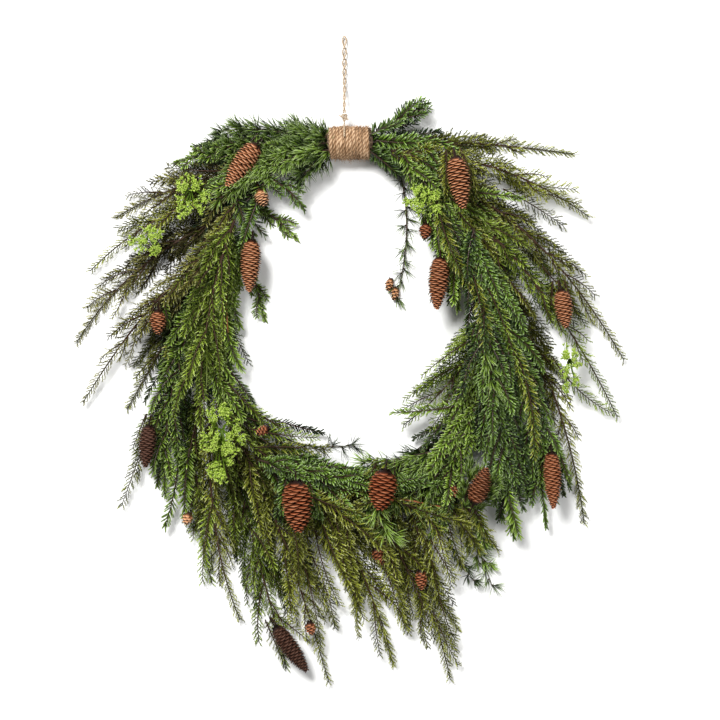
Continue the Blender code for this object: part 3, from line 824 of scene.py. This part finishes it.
# Shoots that stick out on their own: the spray they grow on, then rows of their foot and tip from
# the ring's middle and their height in millimetres, and their hue change.
LONE_SHOOTS = (
    ("fir_spray_low_right", ((206, -218, 236, -322, 32, 0.35), (216, -228, 222, -316, 26, 0.15))),
    ("cypress_spray_bottom_2", ((112, -325, 146, -380, 40, 0.4), (105, -290, 136, -350, 44, 0.35))),
    ("cypress_spray_bottom_1", (
        (-40, -300, 2, -395, 34, 0.3), (-20, -330, 20, -440, 26, 0.15), (-85, -280, -72, -390, 34, -0.25),
    )),
    ("cypress_spray_bottom_2", ((150, -240, 176, -345, 20, -0.1),)),
    ("fir_spray_low_right", ((166, -248, 188, -338, 22, 0.1),)),
    ("cypress_spray_bottom_2", ((118, -300, 142, -394, 20, 0.0), (158, -238, 200, -330, 28, 0.2))),
    ("fir_spray_low_right", ((210, -215, 214, -300, 18, -0.1),)),
    ("fir_spray_upper_left", ((-168, 168, -142, 92, 30, -0.1), (-158, 152, -120, 100, 22, -0.2))),
    ("fir_spray_left_inner", (
        (-172, 110, -152, 30, 24, -0.05), (-168, 60, -152, -30, 20, 0.05), (-176, 15, -148, -90, 30, 0.3),
    )),
    ("fir_sprig_left_2", ((-196, 150, -118, 134, 9, -0.05), (-186, 166, -134, 146, 5, -0.2))),
    ("fir_sprig_left_3", ((-192, 108, -136, 38, 9, -0.05), (-182, 122, -142, 66, 5, -0.2))),
    ("pine_spray_top_left", ((-60, 240, -158, 250, 20, 0.0), (-85, 244, -180, 246, 14, -0.2))),
    ("cypress_spray_bottom_1", ((16, -370, 59, -500, 18, 0.05), (40, -345, 78, -455, 24, 0.2))),
    ("cypress_spray_bottom_2", (
        (70, -350, 118, -470, 16, 0.0), (105, -395, 153, -505, 14, 0.2), (120, -370, 150, -470, 20, -0.1),
    )),
    ("cypress_spray_left_5", (
        (-262, -120, -322, -282, 12, -0.1), (-255, -140, -300, -240, 16, -0.25),
        (-225, -5, -290, -90, 14, -0.2),
    )),
    ("cypress_spray_left_1", ((-165, 190, -258, 196, 16, -0.3),)),
    ("fir_spray_left_low", ((-240, -185, -262, -310, 16, 0.0), (-225, -200, -230, -300, 20, 0.1))),
    ("cypress_spray_low_left_1", ((-190, -265, -206, -388, 14, 0.3),)),
    ("cypress_spray_low_left_4", (
        (-75, -330, -42, -482, 18, -0.1), (-60, -340, -22, -455, 12, -0.3),
        (-50, -300, -12, -420, 22, 0.05),
    )),
    ("cypress_spray_bottom_1", ((-45, -268, 62, -352, 54, 0.15), (-72, -255, 28, -292, 58, 0.0))),
    ("cypress_spray_bottom_2", (
        (42, -262, 168, -302, 58, 0.15), (95, -300, 120, -425, 20, -0.1), (85, -290, 105, -400, 12, -0.3),
        (120, -250, 184, -345, 30, 0.1), (125, -245, 160, -370, 24, 0.2),
        (100, -310, 122, -415, 24, 0.15),
    )),
    ("pine_spray_bottom", ((38, -268, 58, -322, 60, 0.25), (182, -58, 200, -118, 66, 0.2))),
    ("cypress_spray_right_1", ((110, 236, 175, 224, 20, -0.2),)),
    ("cypress_spray_right_2", (
        (205, 185, 318, 165, 22, 0.25), (215, 165, 300, 112, 16, -0.3), (225, 175, 322, 142, 24, -0.2),
    )),
    ("cypress_spray_right_3", ((118, 152, 172, 18, 62, 0.1),)),
    ("cypress_spray_right_4", (
        (190, 25, 238, -128, 60, 0.2), (285, -72, 372, -150, 14, 0.1), (255, 70, 330, -30, 20, -0.1),
    )),
    ("cypress_spray_right_5", ((165, 62, 198, -108, 60, 0.25), (228, -62, 252, -212, 58, 0.25))),
)


def shoot(start, first, last, length, steps=10):
    """One shoot's points, easing from its first heading to its last."""
    first = unit(np.append(first, 0.12))
    last = unit(np.append(last, -0.14))
    return bent_line(start[None], first[None], last[None], np.array([length]), steps, 1.0)[0]


# Short shoots hide the ring all the way round. They lie along it, pointing away from the
# binding on both sides, and belong to the spray that is tied on nearest to them.
COVER_STEP = 4.0  # degrees round the ring
COVER_FIRST, COVER_LAST = 7.5, 176.0  # degrees from the binding, on each side
NEAR_BINDING = 28.0  # degrees from the binding up to which shoots are pine on one side, fir on the other
DROOP_FROM = 25.0  # degrees from the binding from which shoots droop
DROOP = np.array([0.0, -0.35])  # towards the wreath's bottom


class CoverPlan:
    """The lines, hue changes and half widths of every spray's cover shoots."""

    def __init__(self):
        self.rng = random_for("cover")
        self.feet = {}
        for node in sorted(NODES):
            if SLOT_OF[node] in ("cypress_foliage", "fir_foliage", "pine_foliage") and node not in BARE_TWIGS:
                spine = Spine(node)
                self.feet[node] = spine.at(np.array([0.25 * spine.length]))[0][0]
        self.rows = {node: [] for node in self.feet}

    def give(self, line, change, only=None, half_width=None):
        """Let the spray nearest to the line's start have it, and only a spray of one slot if so asked."""
        names = [node for node in self.feet if only in (None, SLOT_OF[node])]
        nearest = min(names, key=lambda node: self.away_from(node, line[0]))
        self.rows[nearest].append((line, change, half_width or self.rng.uniform(8.0, 12.0) * MM))

    def away_from(self, node, start):
        away = np.linalg.norm(self.feet[node][:2] - start[:2])
        return away + self.rng.uniform(0.0, 30.0) * MM

    def along_ring(self, side):
        """Three layers of shoots down one side of the ring."""
        rng = self.rng
        near_binding = "pine_foliage" if side > 0.0 else "fir_foliage"
        for away in np.arange(COVER_FIRST, COVER_LAST, COVER_STEP):
            for layer in range(3):
                outward = flat_way(math.radians(90.0 + side * (away + rng.uniform(-2.0, 2.0))))
                radius = RING_RADIUS * (1.0 - 0.1 * abs(outward[0])) + rng.normal(0.0, 13.0) * MM
                widest = (9.0 if outward[1] > 0.0 else 24.0) * MM
                radius += widest * max(abs(outward[1]) - 0.5, 0.0) * 2.0
                if away < 12.0:  # close to the binding, where the ring is bound tightly
                    radius = RING_RADIUS + rng.uniform(-9.0, 11.0) * MM
                height = (14.0 + 12.0 * layer + rng.uniform(-3.0, 3.0)) * MM
                start = np.append(RING_MIDDLE[:2] + outward * radius, height)
                turn = rng.normal(0.0, 0.3)
                first = side * left_of(outward) + outward * turn
                last = side * left_of(outward) + outward * (turn + rng.normal(0.0, 0.35))
                if away > DROOP_FROM:
                    last = last + DROOP
                line = shoot(start, first, last, rng.uniform(60.0, 105.0) * MM)
                # Painted shade: the lower a layer, the darker its tint.
                change = (-0.4, -0.1, 0.1)[layer] + rng.normal(0.0, 0.08)
                self.give(line, change, near_binding if away < NEAR_BINDING else None)

    def beside_binding(self, side):
        """A bushy end on one side of the binding."""
        rng = self.rng
        kind = "pine_foliage" if side > 0.0 else "fir_foliage"
        for number in range(20):
            lean = rng.uniform(-1.0, 1.0)
            place = RING_MIDDLE[:2] + np.array([-side * 28.0 * MM, RING_RADIUS - 2.0 * MM + 14.0 * MM * lean])
            start = np.append(place, (12.0 + 24.0 * number / 19.0) * MM)
            out = np.array([-side, 0.75 * lean - 0.1])
            line = shoot(start, out, out + DROOP, rng.uniform(28.0, 62.0) * MM)
            self.give(line, rng.normal(-0.1, 0.12), kind, 12.0 * MM)

    def alone(self):
        """The shoots that stick out on their own."""
        for node, rows in LONE_SHOOTS:
            for x, y, tip_x, tip_y, height, change in rows:
                start = RING_MIDDLE[:2] + np.array([x, y]) * MM
                end = RING_MIDDLE[:2] + np.array([tip_x, tip_y]) * MM
                length = float(np.linalg.norm(end - start))
                heading = (end - start) / length
                bowed = heading + left_of(heading) * self.rng.normal(0.0, 0.15)
                line = shoot(np.append(start, height * MM), bowed, 2.0 * heading - bowed, length, 14)
                self.rows.setdefault(node, []).append((line, change, 13.0 * MM))

    def under_cone(self, name):
        """Layers of shoots that hold a cone up, but none on an inner cone's open side."""
        foot, tip, radius = cone_line(name)
        size = float(np.linalg.norm(tip - foot))
        axis = (tip - foot) / size
        square = np.append(left_of(axis), 0.0)
        from_middle = (foot - RING_MIDDLE)[:2]
        inner = float(np.linalg.norm(from_middle)) < RING_RADIUS
        for layer in range(3):
            for aside in (-0.6, 0.0, 0.6):
                start = foot + square * aside * radius - axis * 16.0 * MM
                start = start - UP * (radius + (5.0 + 10.0 * layer) * MM)
                if start[2] < 5.0 * MM or (inner and aside * float(square[:2] @ from_middle) < 0.0):
                    continue
                heading = (axis + square * (0.35 * aside + self.rng.normal(0.0, 0.08)))[:2]
                line = shoot(start, heading, heading, (0.62 + 0.1 * layer) * size + 18.0 * MM)
                # Painted shade: the lower a layer, the darker its tint.
                change = self.rng.normal(-0.05 - 0.12 * layer, 0.08)
                self.give(line, change, half_width=min(0.62 * radius, 10.0 * MM))

    def hanging(self):
        """Longer shoots that hang from the lower part of the ring."""
        rng = self.rng
        for around in np.arange(214.0, 306.0, 3.0):
            outward = flat_way(math.radians(around))
            for layer in range(2):
                start = RING_MIDDLE[:2] + outward * (RING_RADIUS + rng.uniform(-8.0, 45.0) * MM)
                start = np.append(start, (8.0 + 14.0 * layer + rng.uniform(-3.0, 3.0)) * MM)
                heading = math.radians(rng.normal(288.0, 16.0) - 0.12 * (around - 250.0))
                turn = heading + rng.normal(0.0, 0.3)
                line = shoot(start, flat_way(heading), flat_way(turn), rng.uniform(85.0, 165.0) * MM, 12)
                # Painted shade: the lower layer's tint is darker.
                change = (-0.3, 0.0)[layer] + rng.normal(0.0, 0.1)
                self.give(line, change, "cypress_foliage" if rng.random() < 0.75 else None)


def plan_cover():
    plan = CoverPlan()
    for side in (-1.0, 1.0):
        plan.along_ring(side)
        plan.beside_binding(side)
    plan.alone()
    for name in CONE_TINTS:
        plan.under_cone(name)
    plan.hanging()
    return plan.rows


# ------------------------------------------------------------------ cones

# Outlines: the share of the length and the share of the full radius there.
SPRUCE_CONE = ((0.0, 0.30), (0.07, 0.72), (0.25, 0.97), (0.45, 1.0), (0.7, 0.86), (0.9, 0.52), (1.0, 0.24))
SMALL_CONE = ((0.0, 0.45), (0.12, 0.85), (0.35, 1.0), (0.7, 0.85), (1.0, 0.35))
GOLDEN_ANGLE = math.radians(137.508)


def scale_faces(rows, columns):
    """The faces of a thin closed scale whose upper grid of points comes first."""
    lower = rows * columns
    faces = []
    for row in range(rows - 1):
        for column in range(columns - 1):
            corner = columns * row + column
            faces.append([corner, corner + 1, corner + columns + 1, corner + columns])
            corner += lower
            faces.append([corner, corner + columns, corner + columns + 1, corner + 1])
    edge = [columns * row for row in range(rows)]
    edge += [lower - columns + column for column in range(1, columns)]
    edge += [lower - 1 - columns * row for row in range(1, rows)]
    edge += list(range(columns - 2, 0, -1))
    for here, there in zip(edge, edge[1:] + edge[:1]):
        faces.append([here, there, there + lower, here + lower])
    return np.array(faces)


def grow_cone(pile, foot, tip, profile, radius, rng, tint, per_row, row_step, slot=0):
    """A closed cone: curved overlapping scales with thin rims, spiralling from foot to tip, painted dark at
    their covered feet and undersides as painted shade and bright near their rims as a painted highlight.
    """
    length = float(np.linalg.norm(tip - foot))
    axis = (tip - foot) / length
    first, second = across_of(axis)
    shares, widths = (np.array(column) for column in zip(*profile))

    def surface(share):
        return radius * np.interp(share, shares, widths)

    # A core painted near-black, as painted shade, closes the gaps between the scales.
    stations = np.linspace(0.02, 0.98, 14)
    core = foot + axis * (stations * length)[:, None]
    pile.rods(core[None], surface(stations) * 0.66, tint * 0.5, tone=(0.0, 0.12), sides=12, slot=slot)

    count = max(int(length / row_step * per_row), 12)
    order = np.arange(count)
    rim = 0.05 + 0.97 * (order + 0.5) / count
    around = order * GOLDEN_ANGLE + rng.normal(0.0, 0.05, count)
    outer = surface(np.minimum(rim, 1.0)) * rng.uniform(0.97, 1.05, count)
    reach = np.clip(1.6 * row_step + 0.1 * outer, 4.0 * MM, 12.0 * MM)
    half = (0.5 * outer + 0.9 * MM) * rng.uniform(0.92, 1.06, count)
    rows = np.array([0.0, 0.4, 0.72, 0.9, 1.0])
    columns = np.array([-1.0, -0.62, 0.0, 0.62, 1.0])
    row, column = (grid.ravel() for grid in np.meshgrid(rows, columns, indexing="ij"))
    forward = row * (1.0 - 0.2 * column**2)
    wide = column * np.interp(row, [0.0, 0.55, 0.85, 1.0], [0.45, 0.95, 1.0, 0.8])
    axial = (rim * length)[:, None] - reach[:, None] * (1.0 - forward)
    outer = outer[:, None]
    out = 0.5 * outer + 0.5 * outer * forward**1.5 + 0.3 * MM * (row == 1.0)
    angle = around[:, None] + wide * half[:, None] / np.maximum(outer, 3.0 * MM)
    thick = (1.1 * MM - 0.55 * MM * row) * min(radius / (9.0 * MM), 1.0)
    middle = foot + axis * axial[..., None]
    outward = turned(first, second, angle)
    points = np.concatenate([middle + outward * (out - inset)[..., None] for inset in (0.0, thick)], 1)
    tones = np.empty((count, 2 * len(row), 2))
    # Painted shade and highlight: along runs from a scale's dark covered foot to its bright rim, and its
    # underside stays dark.
    tones[:, :, 0] = np.concatenate([row * (1.0 - 0.12 * np.abs(column)), row * 0.25])
    scale_tint = np.clip(tint + rng.normal(0.0, 0.05, count), 0.02, LEAF_TINT)
    tones[:, :, 1] = scale_tint[:, None] + EDGE_TINT * np.tile(column, 2)
    pile.add(points, tones, [scale_faces(len(rows), len(columns))], slot)


def cone_line(name):
    """A CAD cone's axis from its stalk end to its tip, and its radius. Its seven rings of points
    fall into line when it is seen square to its axis."""
    points = vertices_of(name)
    best = None
    for turn in np.radians(np.arange(0.0, 180.0, 0.25)):
        heading = flat_way(turn)
        grouped = np.sort(points[:, :2] @ heading).reshape(7, -1)
        cost = grouped.var(axis=1).sum()
        if best is None or cost < best[0]:
            best = (cost, heading, grouped.mean(axis=1))
    _, heading, levels = best
    square = left_of(heading)
    along = points[:, :2] @ heading
    aside = points[:, :2] @ square
    heights = points[:, 2]
    centre_line = (aside.min() + aside.max()) / 2.0
    height = (heights.min() + heights.max()) / 2.0
    radius = np.hypot(aside - centre_line, heights - height)
    near = [radius[np.abs(along - level) < 1.0 * MM].max() for level in (levels[1], levels[-2])]
    ends = [np.append(heading * level + square * centre_line, height) for level in (levels[0], levels[-1])]
    if near[0] < near[1]:
        ends.reverse()
    return ends[0], ends[1], radius.max()


# Hue of each cone, from mahogany at 0 to tan at 0.8.
CONE_TINTS = {
    "cone_upper_left": 0.72, "cone_inner_left": 0.66, "cone_outer_left": 0.42, "cone_small_left": 0.7,
    "cone_upper_right": 0.62, "cone_inner_right": 0.45, "cone_small_right": 0.3, "cone_outer_right": 0.6,
    "cone_bottom_left": 0.16, "cone_bottom_middle": 0.1, "cone_bottom_right": 0.36, "cone_low_right": 0.34,
    "cone_low_left": 0.4, "cone_hanging": 0.3,
}


def build_cone(name):
    rng = random_for(name)
    foot, tip, radius = cone_line(name)
    radius *= 1.07
    pile = Pile()
    small = float(np.linalg.norm(tip - foot)) < 1.7 * radius
    row_step = (3.5 if radius < 16.0 * MM else 4.1) * MM
    profile, per_row = (SMALL_CONE, 6) if small else (SPRUCE_CONE, 8)
    grow_cone(pile, foot, tip, profile, radius, rng, CONE_TINTS[name], per_row, row_step)
    # The short stalk bends down into the greenery.
    back = unit(foot - tip) * MM
    stalk = [foot + back * away - UP * drop * MM for away, drop in ((-3, 0), (4, 0), (10, 3), (15, 9))]
    pile.rods(np.array(stalk)[None], np.array([1.5, 1.3, 1.1, 1.0]) * MM, 0.5, tone=(0.0, 0.2), sides=6)
    look = cone_dark if SLOT_OF[name] == "cone_dark" else cone_scale
    return pile.build(name + "_scales", [cone_tan if name == "cone_small_left" else look])


# ------------------------------------------------------------------ seed heads

CLUSTER_AREA = 5.2 * MM**2  # of a quarter of the head's box, for each cluster of buds
FEWEST_CLUSTERS = 110
BUDS_IN_CLUSTER = 6


def build_seed_head(name):
    """Clusters of plump buds on thin branching stalks, spread over a flattened mound."""
    rng = random_for(name)
    low, high = (np.array(corner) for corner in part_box(name))
    middle, half = (low + high) / 2.0, (high - low) / 2.0
    pile = Pile()
    count = max(int(half[0] * half[1] / CLUSTER_AREA), FEWEST_CLUSTERS)
    spot = rng.uniform(-1.0, 1.0, (count * 3, 2))
    spot = spot[(spot**2).sum(1) < 1.0][:count]
    count = len(spot)
    # Drawn towards a few sprigs, so that the mound is uneven.
    sprigs = spot[:: max(count // 8, 1)]
    pull = rng.uniform(0.15, 0.6, (count, 1))
    close = sprigs[np.linalg.norm(spot[:, None] - sprigs[None], axis=2).argmin(1)]
    spot = spot * (1.0 - pull) + close * pull
    dome = np.sqrt(np.maximum(1.0 - (spot**2).sum(1), 0.0))
    ragged = spot * rng.uniform(0.8, 1.25, count)[:, None]
    head = middle + half * np.column_stack([ragged, (dome * 1.1 - 0.15) * rng.uniform(0.5, 1.15, count)])
    root = middle + np.array([0.0, 0.35 * half[1], -half[2]])
    hubs = max(count // 7, 4)
    hub = middle + (head[:: max(count // hubs, 1)] - middle) * 0.55
    hub[:, 2] = middle[2] - 0.35 * half[2]
    nearest = hub[np.linalg.norm(head[:, None] - hub[None], axis=2).argmin(1)]
    stalks = np.stack([np.broadcast_to(root, hub.shape), (root + hub) / 2.0 - UP * MM, hub], 1)
    pile.rods(stalks, np.array([1.0, 0.8, 0.7]) * MM, 0.12, tone=(0.1, 0.35), sides=4)
    twigs = np.stack([nearest, (nearest + head) / 2.0 + UP * 0.6 * MM, head], 1)
    pile.rods(twigs, np.array([0.55, 0.45, 0.4]) * MM, 0.2, tone=(0.1, 0.45), sides=3)
    buds = count * BUDS_IN_CLUSTER
    lead = unit(head - (middle - UP * 1.4 * half[2]))
    foot, lead = (np.repeat(rows, BUDS_IN_CLUSTER, 0) for rows in (head, lead))
    way = unit(lead + rng.normal(0.0, 0.8, (buds, 3)))
    size = rng.uniform(2.8, 5.2, buds) * MM
    plump = rng.uniform(0.5, 0.8, buds) * MM
    station = np.array([0.0, 0.3, 0.65, 0.9, 1.0])
    swell = np.array([0.35, 0.95, 1.0, 0.6, 0.12])
    rows = foot[:, None] + way[:, None] * (station * size[:, None])[..., None]
    pile.rods(rows, plump[:, None] * swell, leaf_tints(rng, 0.5, buds, 0.22), tone=(0.15, 1.0))
    return pile.build(name + "_buds", [seed_bud])


# ------------------------------------------------------------------ jute


def frame_along(line):
    """A line's directions, and two unit vectors square to each that don't wind round it."""
    way = unit(np.gradient(line, axis=0))
    first = [across_of(way[0])[0]]
    for ahead in way[1:]:
        first.append(unit(first[-1] - ahead * (first[-1] @ ahead)))
    return way, np.array(first), np.cross(way, first)


def rope(pile, line, radius, plies, pitch, sides, rng, tint, low, relief=0.28, closed_ends=True, uneven=0.0):
    """A twisted cord round a line: its plies show as lobes that wind round it, painted darker in the grooves
    between them as painted shade.
    """
    reach = reach_of(line)
    _, first, second = frame_along(line)
    around = np.arange(sides) * 2.0 * math.pi / sides
    knots = max(int(reach[-1] / (0.5 * pitch)), 4)
    drift = np.interp(reach, np.linspace(0.0, reach[-1], knots), rng.normal(0.0, 1.0, knots))[:, None]
    wind = reach[:, None] * 2.0 * math.pi / pitch + 6.0 * uneven * drift
    lobe = np.abs(np.cos(0.5 * plies * (around - wind)))
    swell = 1.0 + uneven * drift + rng.normal(0.0, 0.5 * uneven, lobe.shape)
    ring_radius = radius * (1.0 - relief * (1.0 - lobe**0.7)) * swell
    if closed_ends:
        ring_radius[[0, -1]] *= 0.35
    points = line[:, None] + ring_radius[..., None] * turned(first[:, None], second[:, None], around)
    count = len(line)
    tones = np.empty((count, sides, 2))
    streak = rng.normal(0.0, 0.07, (count, sides)) + 2.0 * uneven * drift
    # Painted shade: the tone falls to low in the grooves between the plies.
    tones[..., 0] = np.clip(low + (1.0 - low) * lobe**1.3 + streak, 0.0, 1.0)
    tints = tint + 0.04 * np.cos(around) + rng.normal(0.0, 0.03, (count, 1))
    tones[..., 1] = np.clip(tints, 0.02, LEAF_TINT)
    ends = np.concatenate([end_faces((count - 1) * sides, sides), end_faces(0, sides)[:, [0, 2, 1]]])
    pile.add(points[None], tones, [tube_faces(count, sides), ends])


def fuzz(pile, line, radius, rng, hairs, hair):
    """Short fibres that stand off a rope."""
    at = rng.integers(1, len(line) - 1, hairs)
    angle = rng.uniform(0.0, 2.0 * math.pi, hairs)
    way, first, second = (rows[at] for rows in frame_along(line))
    out = turned(first, second, angle)
    foot = line[at] + out * radius * 0.86
    start = way * rng.choice([-1.0, 1.0], hairs)[:, None]
    start = unit(start + out * rng.uniform(0.15, 0.8, hairs)[:, None])
    bend = unit(way + out * 0.5 + rng.normal(0.0, 0.8, (hairs, 3)))
    rows = bent_line(foot, start, bend, hair * rng.uniform(0.5, 1.4, hairs), 4, 0.7)
    radii = np.array([0.13, 0.12, 0.1, 0.05]) * MM
    pile.rods(rows, radii, leaf_tints(rng, 0.6, hairs, 0.12), tone=(0.75, 1.0), sides=3)


def build_binding():
    """Jute wound twelve times round the stems, side by side and pressed flat underneath."""
    rng = random_for("jute_binding")
    low, high = (np.array(corner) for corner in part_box("jute_binding"))
    turns, width = 12, high[0] - low[0]
    jute = width / turns / 2.0
    across = (high[1] - low[1]) / 2.0
    per_turn = 96
    turn = np.arange(turns * per_turn) / per_turn
    angle = 2.0 * math.pi * turn
    swell = np.interp(turn, np.arange(turns + 1), rng.normal(0.0, 0.45 * MM, turns + 1))
    share = turn / turns
    bulge = across - jute + swell + 0.9 * MM * np.sin(math.pi * share) - 0.9 * MM
    drift = np.interp(turn, np.arange(turns + 1), rng.normal(0.0, 0.3 * MM, turns + 1))
    x = low[0] + jute + (width - 2.0 * jute) * share + drift
    y = (low[1] + high[1]) / 2.0 + bulge * np.cos(angle)
    z = high[2] - across + bulge * np.sin(angle)
    line = np.column_stack([x, y, np.maximum(z, jute + 0.1 * MM)])
    pile = Pile()
    rope(pile, line, jute * 0.99, 3, 19.0 * MM, 18, rng, 0.36, low=0.26, relief=0.14, uneven=0.09)
    fuzz(pile, line, jute * 0.99, rng, 3600, 7.0 * MM)
    return pile.build("jute_winding", [jute_fibre])


# The hanger's route, as its CAD nodes have it.
GAP = 0.4 * MM
HANGER_X = -8.0 * MM
KNOT_Y = 264.5 * MM
KNOT_Z = 25.0 * MM
KNOT_HALF_LENGTH = 5.2 * MM
HANGER_END_Y = 383.0 * MM
HANGER_OPEN = 2.5 * MM
HANGER_CLOSE = 1.3 * MM
HANGER_TWIST = math.pi
HANGER_TWIST_LENGTH = 17.0 * MM
HANGER_EYE = 7.0 * MM
HANGER_TIGHTER = 0.35
HANGER_STEPS = 52
HANGER_DROP = 52.0 * MM
TWINE_RADIUS = 1.1 * MM
BINDING_RADIUS = 24.0 * MM
BINDING_AXLE = 23.2 * MM


def smooth_step(share):
    share = min(max(share, 0.0), 1.0)
    return share * share * (3.0 - 2.0 * share)


def hanger_lines():
    """The tie from the binding's front up to the knot, and the doubled twine beyond it."""
    x = RING_MIDDLE[0] + HANGER_X
    knot = np.array([x, RING_MIDDLE[1] + KNOT_Y, KNOT_Z])
    axle = np.array([x, RING_MIDDLE[1] + RING_RADIUS, BINDING_AXLE])
    reach = BINDING_RADIUS + TWINE_RADIUS + 2.0 * GAP
    tie = []
    for step in range(9):
        lean = math.radians(78.0 - 7.2 * step)
        tie.append(axle + reach * np.array([0.0, math.cos(lean), math.sin(lean)]))
    last = knot - np.array([0.0, KNOT_HALF_LENGTH + 3.0 * GAP, -1.0 * MM])
    tie = [point for point in tie if point[1] < last[1] - 2.0 * MM] + [last]
    start = knot[1] + KNOT_HALF_LENGTH + GAP
    end = RING_MIDDLE[1] + HANGER_END_Y - TWINE_RADIUS
    low = HANGER_OPEN + TWINE_RADIUS + 2.0 * GAP
    there, back = [], []
    for step in range(HANGER_STEPS):
        share = step / (HANGER_STEPS - 1)
        y = start + share * (end - start)
        height = low + (KNOT_Z - low) * (1.0 - smooth_step((y - start) / HANGER_DROP))
        wound = max(end - y - HANGER_EYE, 0.0)
        tightened = 1.0 + HANGER_TIGHTER * wound / (end - start)
        turn = HANGER_TWIST * tightened * wound / HANGER_TWIST_LENGTH
        opened = HANGER_CLOSE + (HANGER_OPEN - HANGER_CLOSE) * smooth_step(2.2 * share - 0.5)
        if step == HANGER_STEPS - 1:
            opened = 0.0
        if step == HANGER_STEPS - 2:
            opened = 0.8 * HANGER_OPEN
        offset = np.array([opened * math.cos(turn), 0.0, opened * math.sin(turn)])
        middle = np.array([x, y, height])
        there.append(middle + offset)
        back.append(middle - offset)
    return np.array(tie), np.array(there + back[-2::-1]), knot


TWINE_PITCH = 6.0 * MM  # along it, for one turn of its plies


def smoothed(line, step=0.6 * MM):
    """The same route with a point every step, eased by cutting its corners twice."""
    for _ in range(2):
        cut = np.empty((2 * len(line), 3))
        cut[0], cut[-1] = line[0], line[-1]
        cut[1:-1:2] = 0.75 * line[:-1] + 0.25 * line[1:]
        cut[2::2] = 0.25 * line[:-1] + 0.75 * line[1:]
        line = cut[np.concatenate([[True], np.linalg.norm(np.diff(cut, axis=0), axis=1) > 1e-7])]
    total = length_of(line)
    return along_line(line, np.linspace(0.0, total, max(int(total / step), 8)))[0]


def twine(pile, line, rng, hairs, hair, thin=1.0, sides=12, closed_ends=True):
    """The hanger's two-ply twine round a line."""
    radius = TWINE_RADIUS * thin
    rope(pile, line, radius, 2, TWINE_PITCH, sides, rng, 0.5, low=0.2, closed_ends=closed_ends)
    fuzz(pile, line, radius, rng, hairs, hair)


def twine_piece(name, line, rng, hairs):
    pile = Pile()
    twine(pile, line, rng, hairs, 1.6 * MM)
    return pile.build(name, [twine_fibre], on_surface=False)


def knot_tail(pile, knot, rng, side, drop):
    """One frayed end of the twine, which leaves the knot to this side."""
    places = ((1.5, -0.5, 1.0), (3.0, 0.8 * drop, 2.2), (4.2, 1.9 * drop, 2.0), (5.2, 3.2 * drop, 1.2))
    tail = smoothed(knot + np.array(places) * (side, 1.0, 1.0) * MM)
    twine(pile, tail, rng, 24, 3.0 * MM, thin=0.85, sides=10)
    strands = 16
    foot = tail[-1] + rng.normal(0.0, 0.3 * MM, (strands, 3))
    start = unit(np.array([0.7 * side, 0.7, -0.1]) + rng.normal(0.0, 0.3, (strands, 3)))
    last = unit(start + rng.normal(0.0, 0.5, (strands, 3)))
    rows = bent_line(foot, start, last, rng.uniform(2.0, 5.0, strands) * MM, 4, 0.8)
    pile.rods(rows, np.array([0.2, 0.18, 0.14, 0.06]) * MM, 0.6, tone=(0.7, 1.0), sides=3)


def build_knot(knot, rng):
    pile = Pile()
    turn = np.linspace(0.0, 2.0 * math.pi, 120)
    x = np.sin(turn) + 2.0 * np.sin(2.0 * turn)
    y = np.cos(turn) - 2.0 * np.cos(2.0 * turn)
    tangle = np.column_stack([x, y, -1.3 * np.sin(3.0 * turn)]) * (1.25, 1.75, 1.25) * MM
    twine(pile, knot + tangle, rng, 80, 3.0 * MM, thin=0.98, closed_ends=False)
    knot_tail(pile, knot, rng, -1.0, 0.2)
    knot_tail(pile, knot, rng, 0.7, -1.3)
    return pile.build("hanger_knot_twine", [twine_fibre], on_surface=False)


def build_hanger():
    rng = random_for("hanger")
    tie, loop, knot = hanger_lines()
    loop = smoothed(loop)
    loop_piece = twine_piece("hanger_twine", loop, rng, 260)
    tie = smoothed(tie)
    tie_piece = twine_piece("hanger_tie_twine", tie, rng, 50)
    knot_piece = build_knot(knot, rng)
    stand_in(loop_piece, "hanger_loop")
    stand_in(tie_piece, "hanger_tie")
    stand_in(knot_piece, "hanger_knot")


def reskin(node, material):
    """Give a CAD node that is seen as it is a material of its own."""
    materials = NODES[node].data.materials
    if not materials:
        materials.append(material)
    for index in range(len(materials)):
        materials[index] = material


# ------------------------------------------------------------------ put together

GROWERS = {
    "cypress_foliage": grow_cypress,
    "fir_foliage": grow_fir,
    "pine_foliage": grow_pine,
    "cone_brown": build_cone,
    "cone_dark": build_cone,
    "seed_head": build_seed_head,
}
# Nodes that stay as the CAD has them.
SEEN_NODES = {"frame_ring": painted_wire, "tie_wire": tie_wire_enamel, "stem_bundle": bark_wood}


def stand_in(piece, node):
    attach(piece, "root")
    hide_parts(node)


COVER = plan_cover()
for node in sorted(NODES):
    grower = GROWERS.get(SLOT_OF[node])
    if grower:
        stand_in(grower(node), node)
stand_in(build_binding(), "jute_binding")
build_hanger()
for node, material in SEEN_NODES.items():
    reskin(node, material)
    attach(NODES[node], "root")
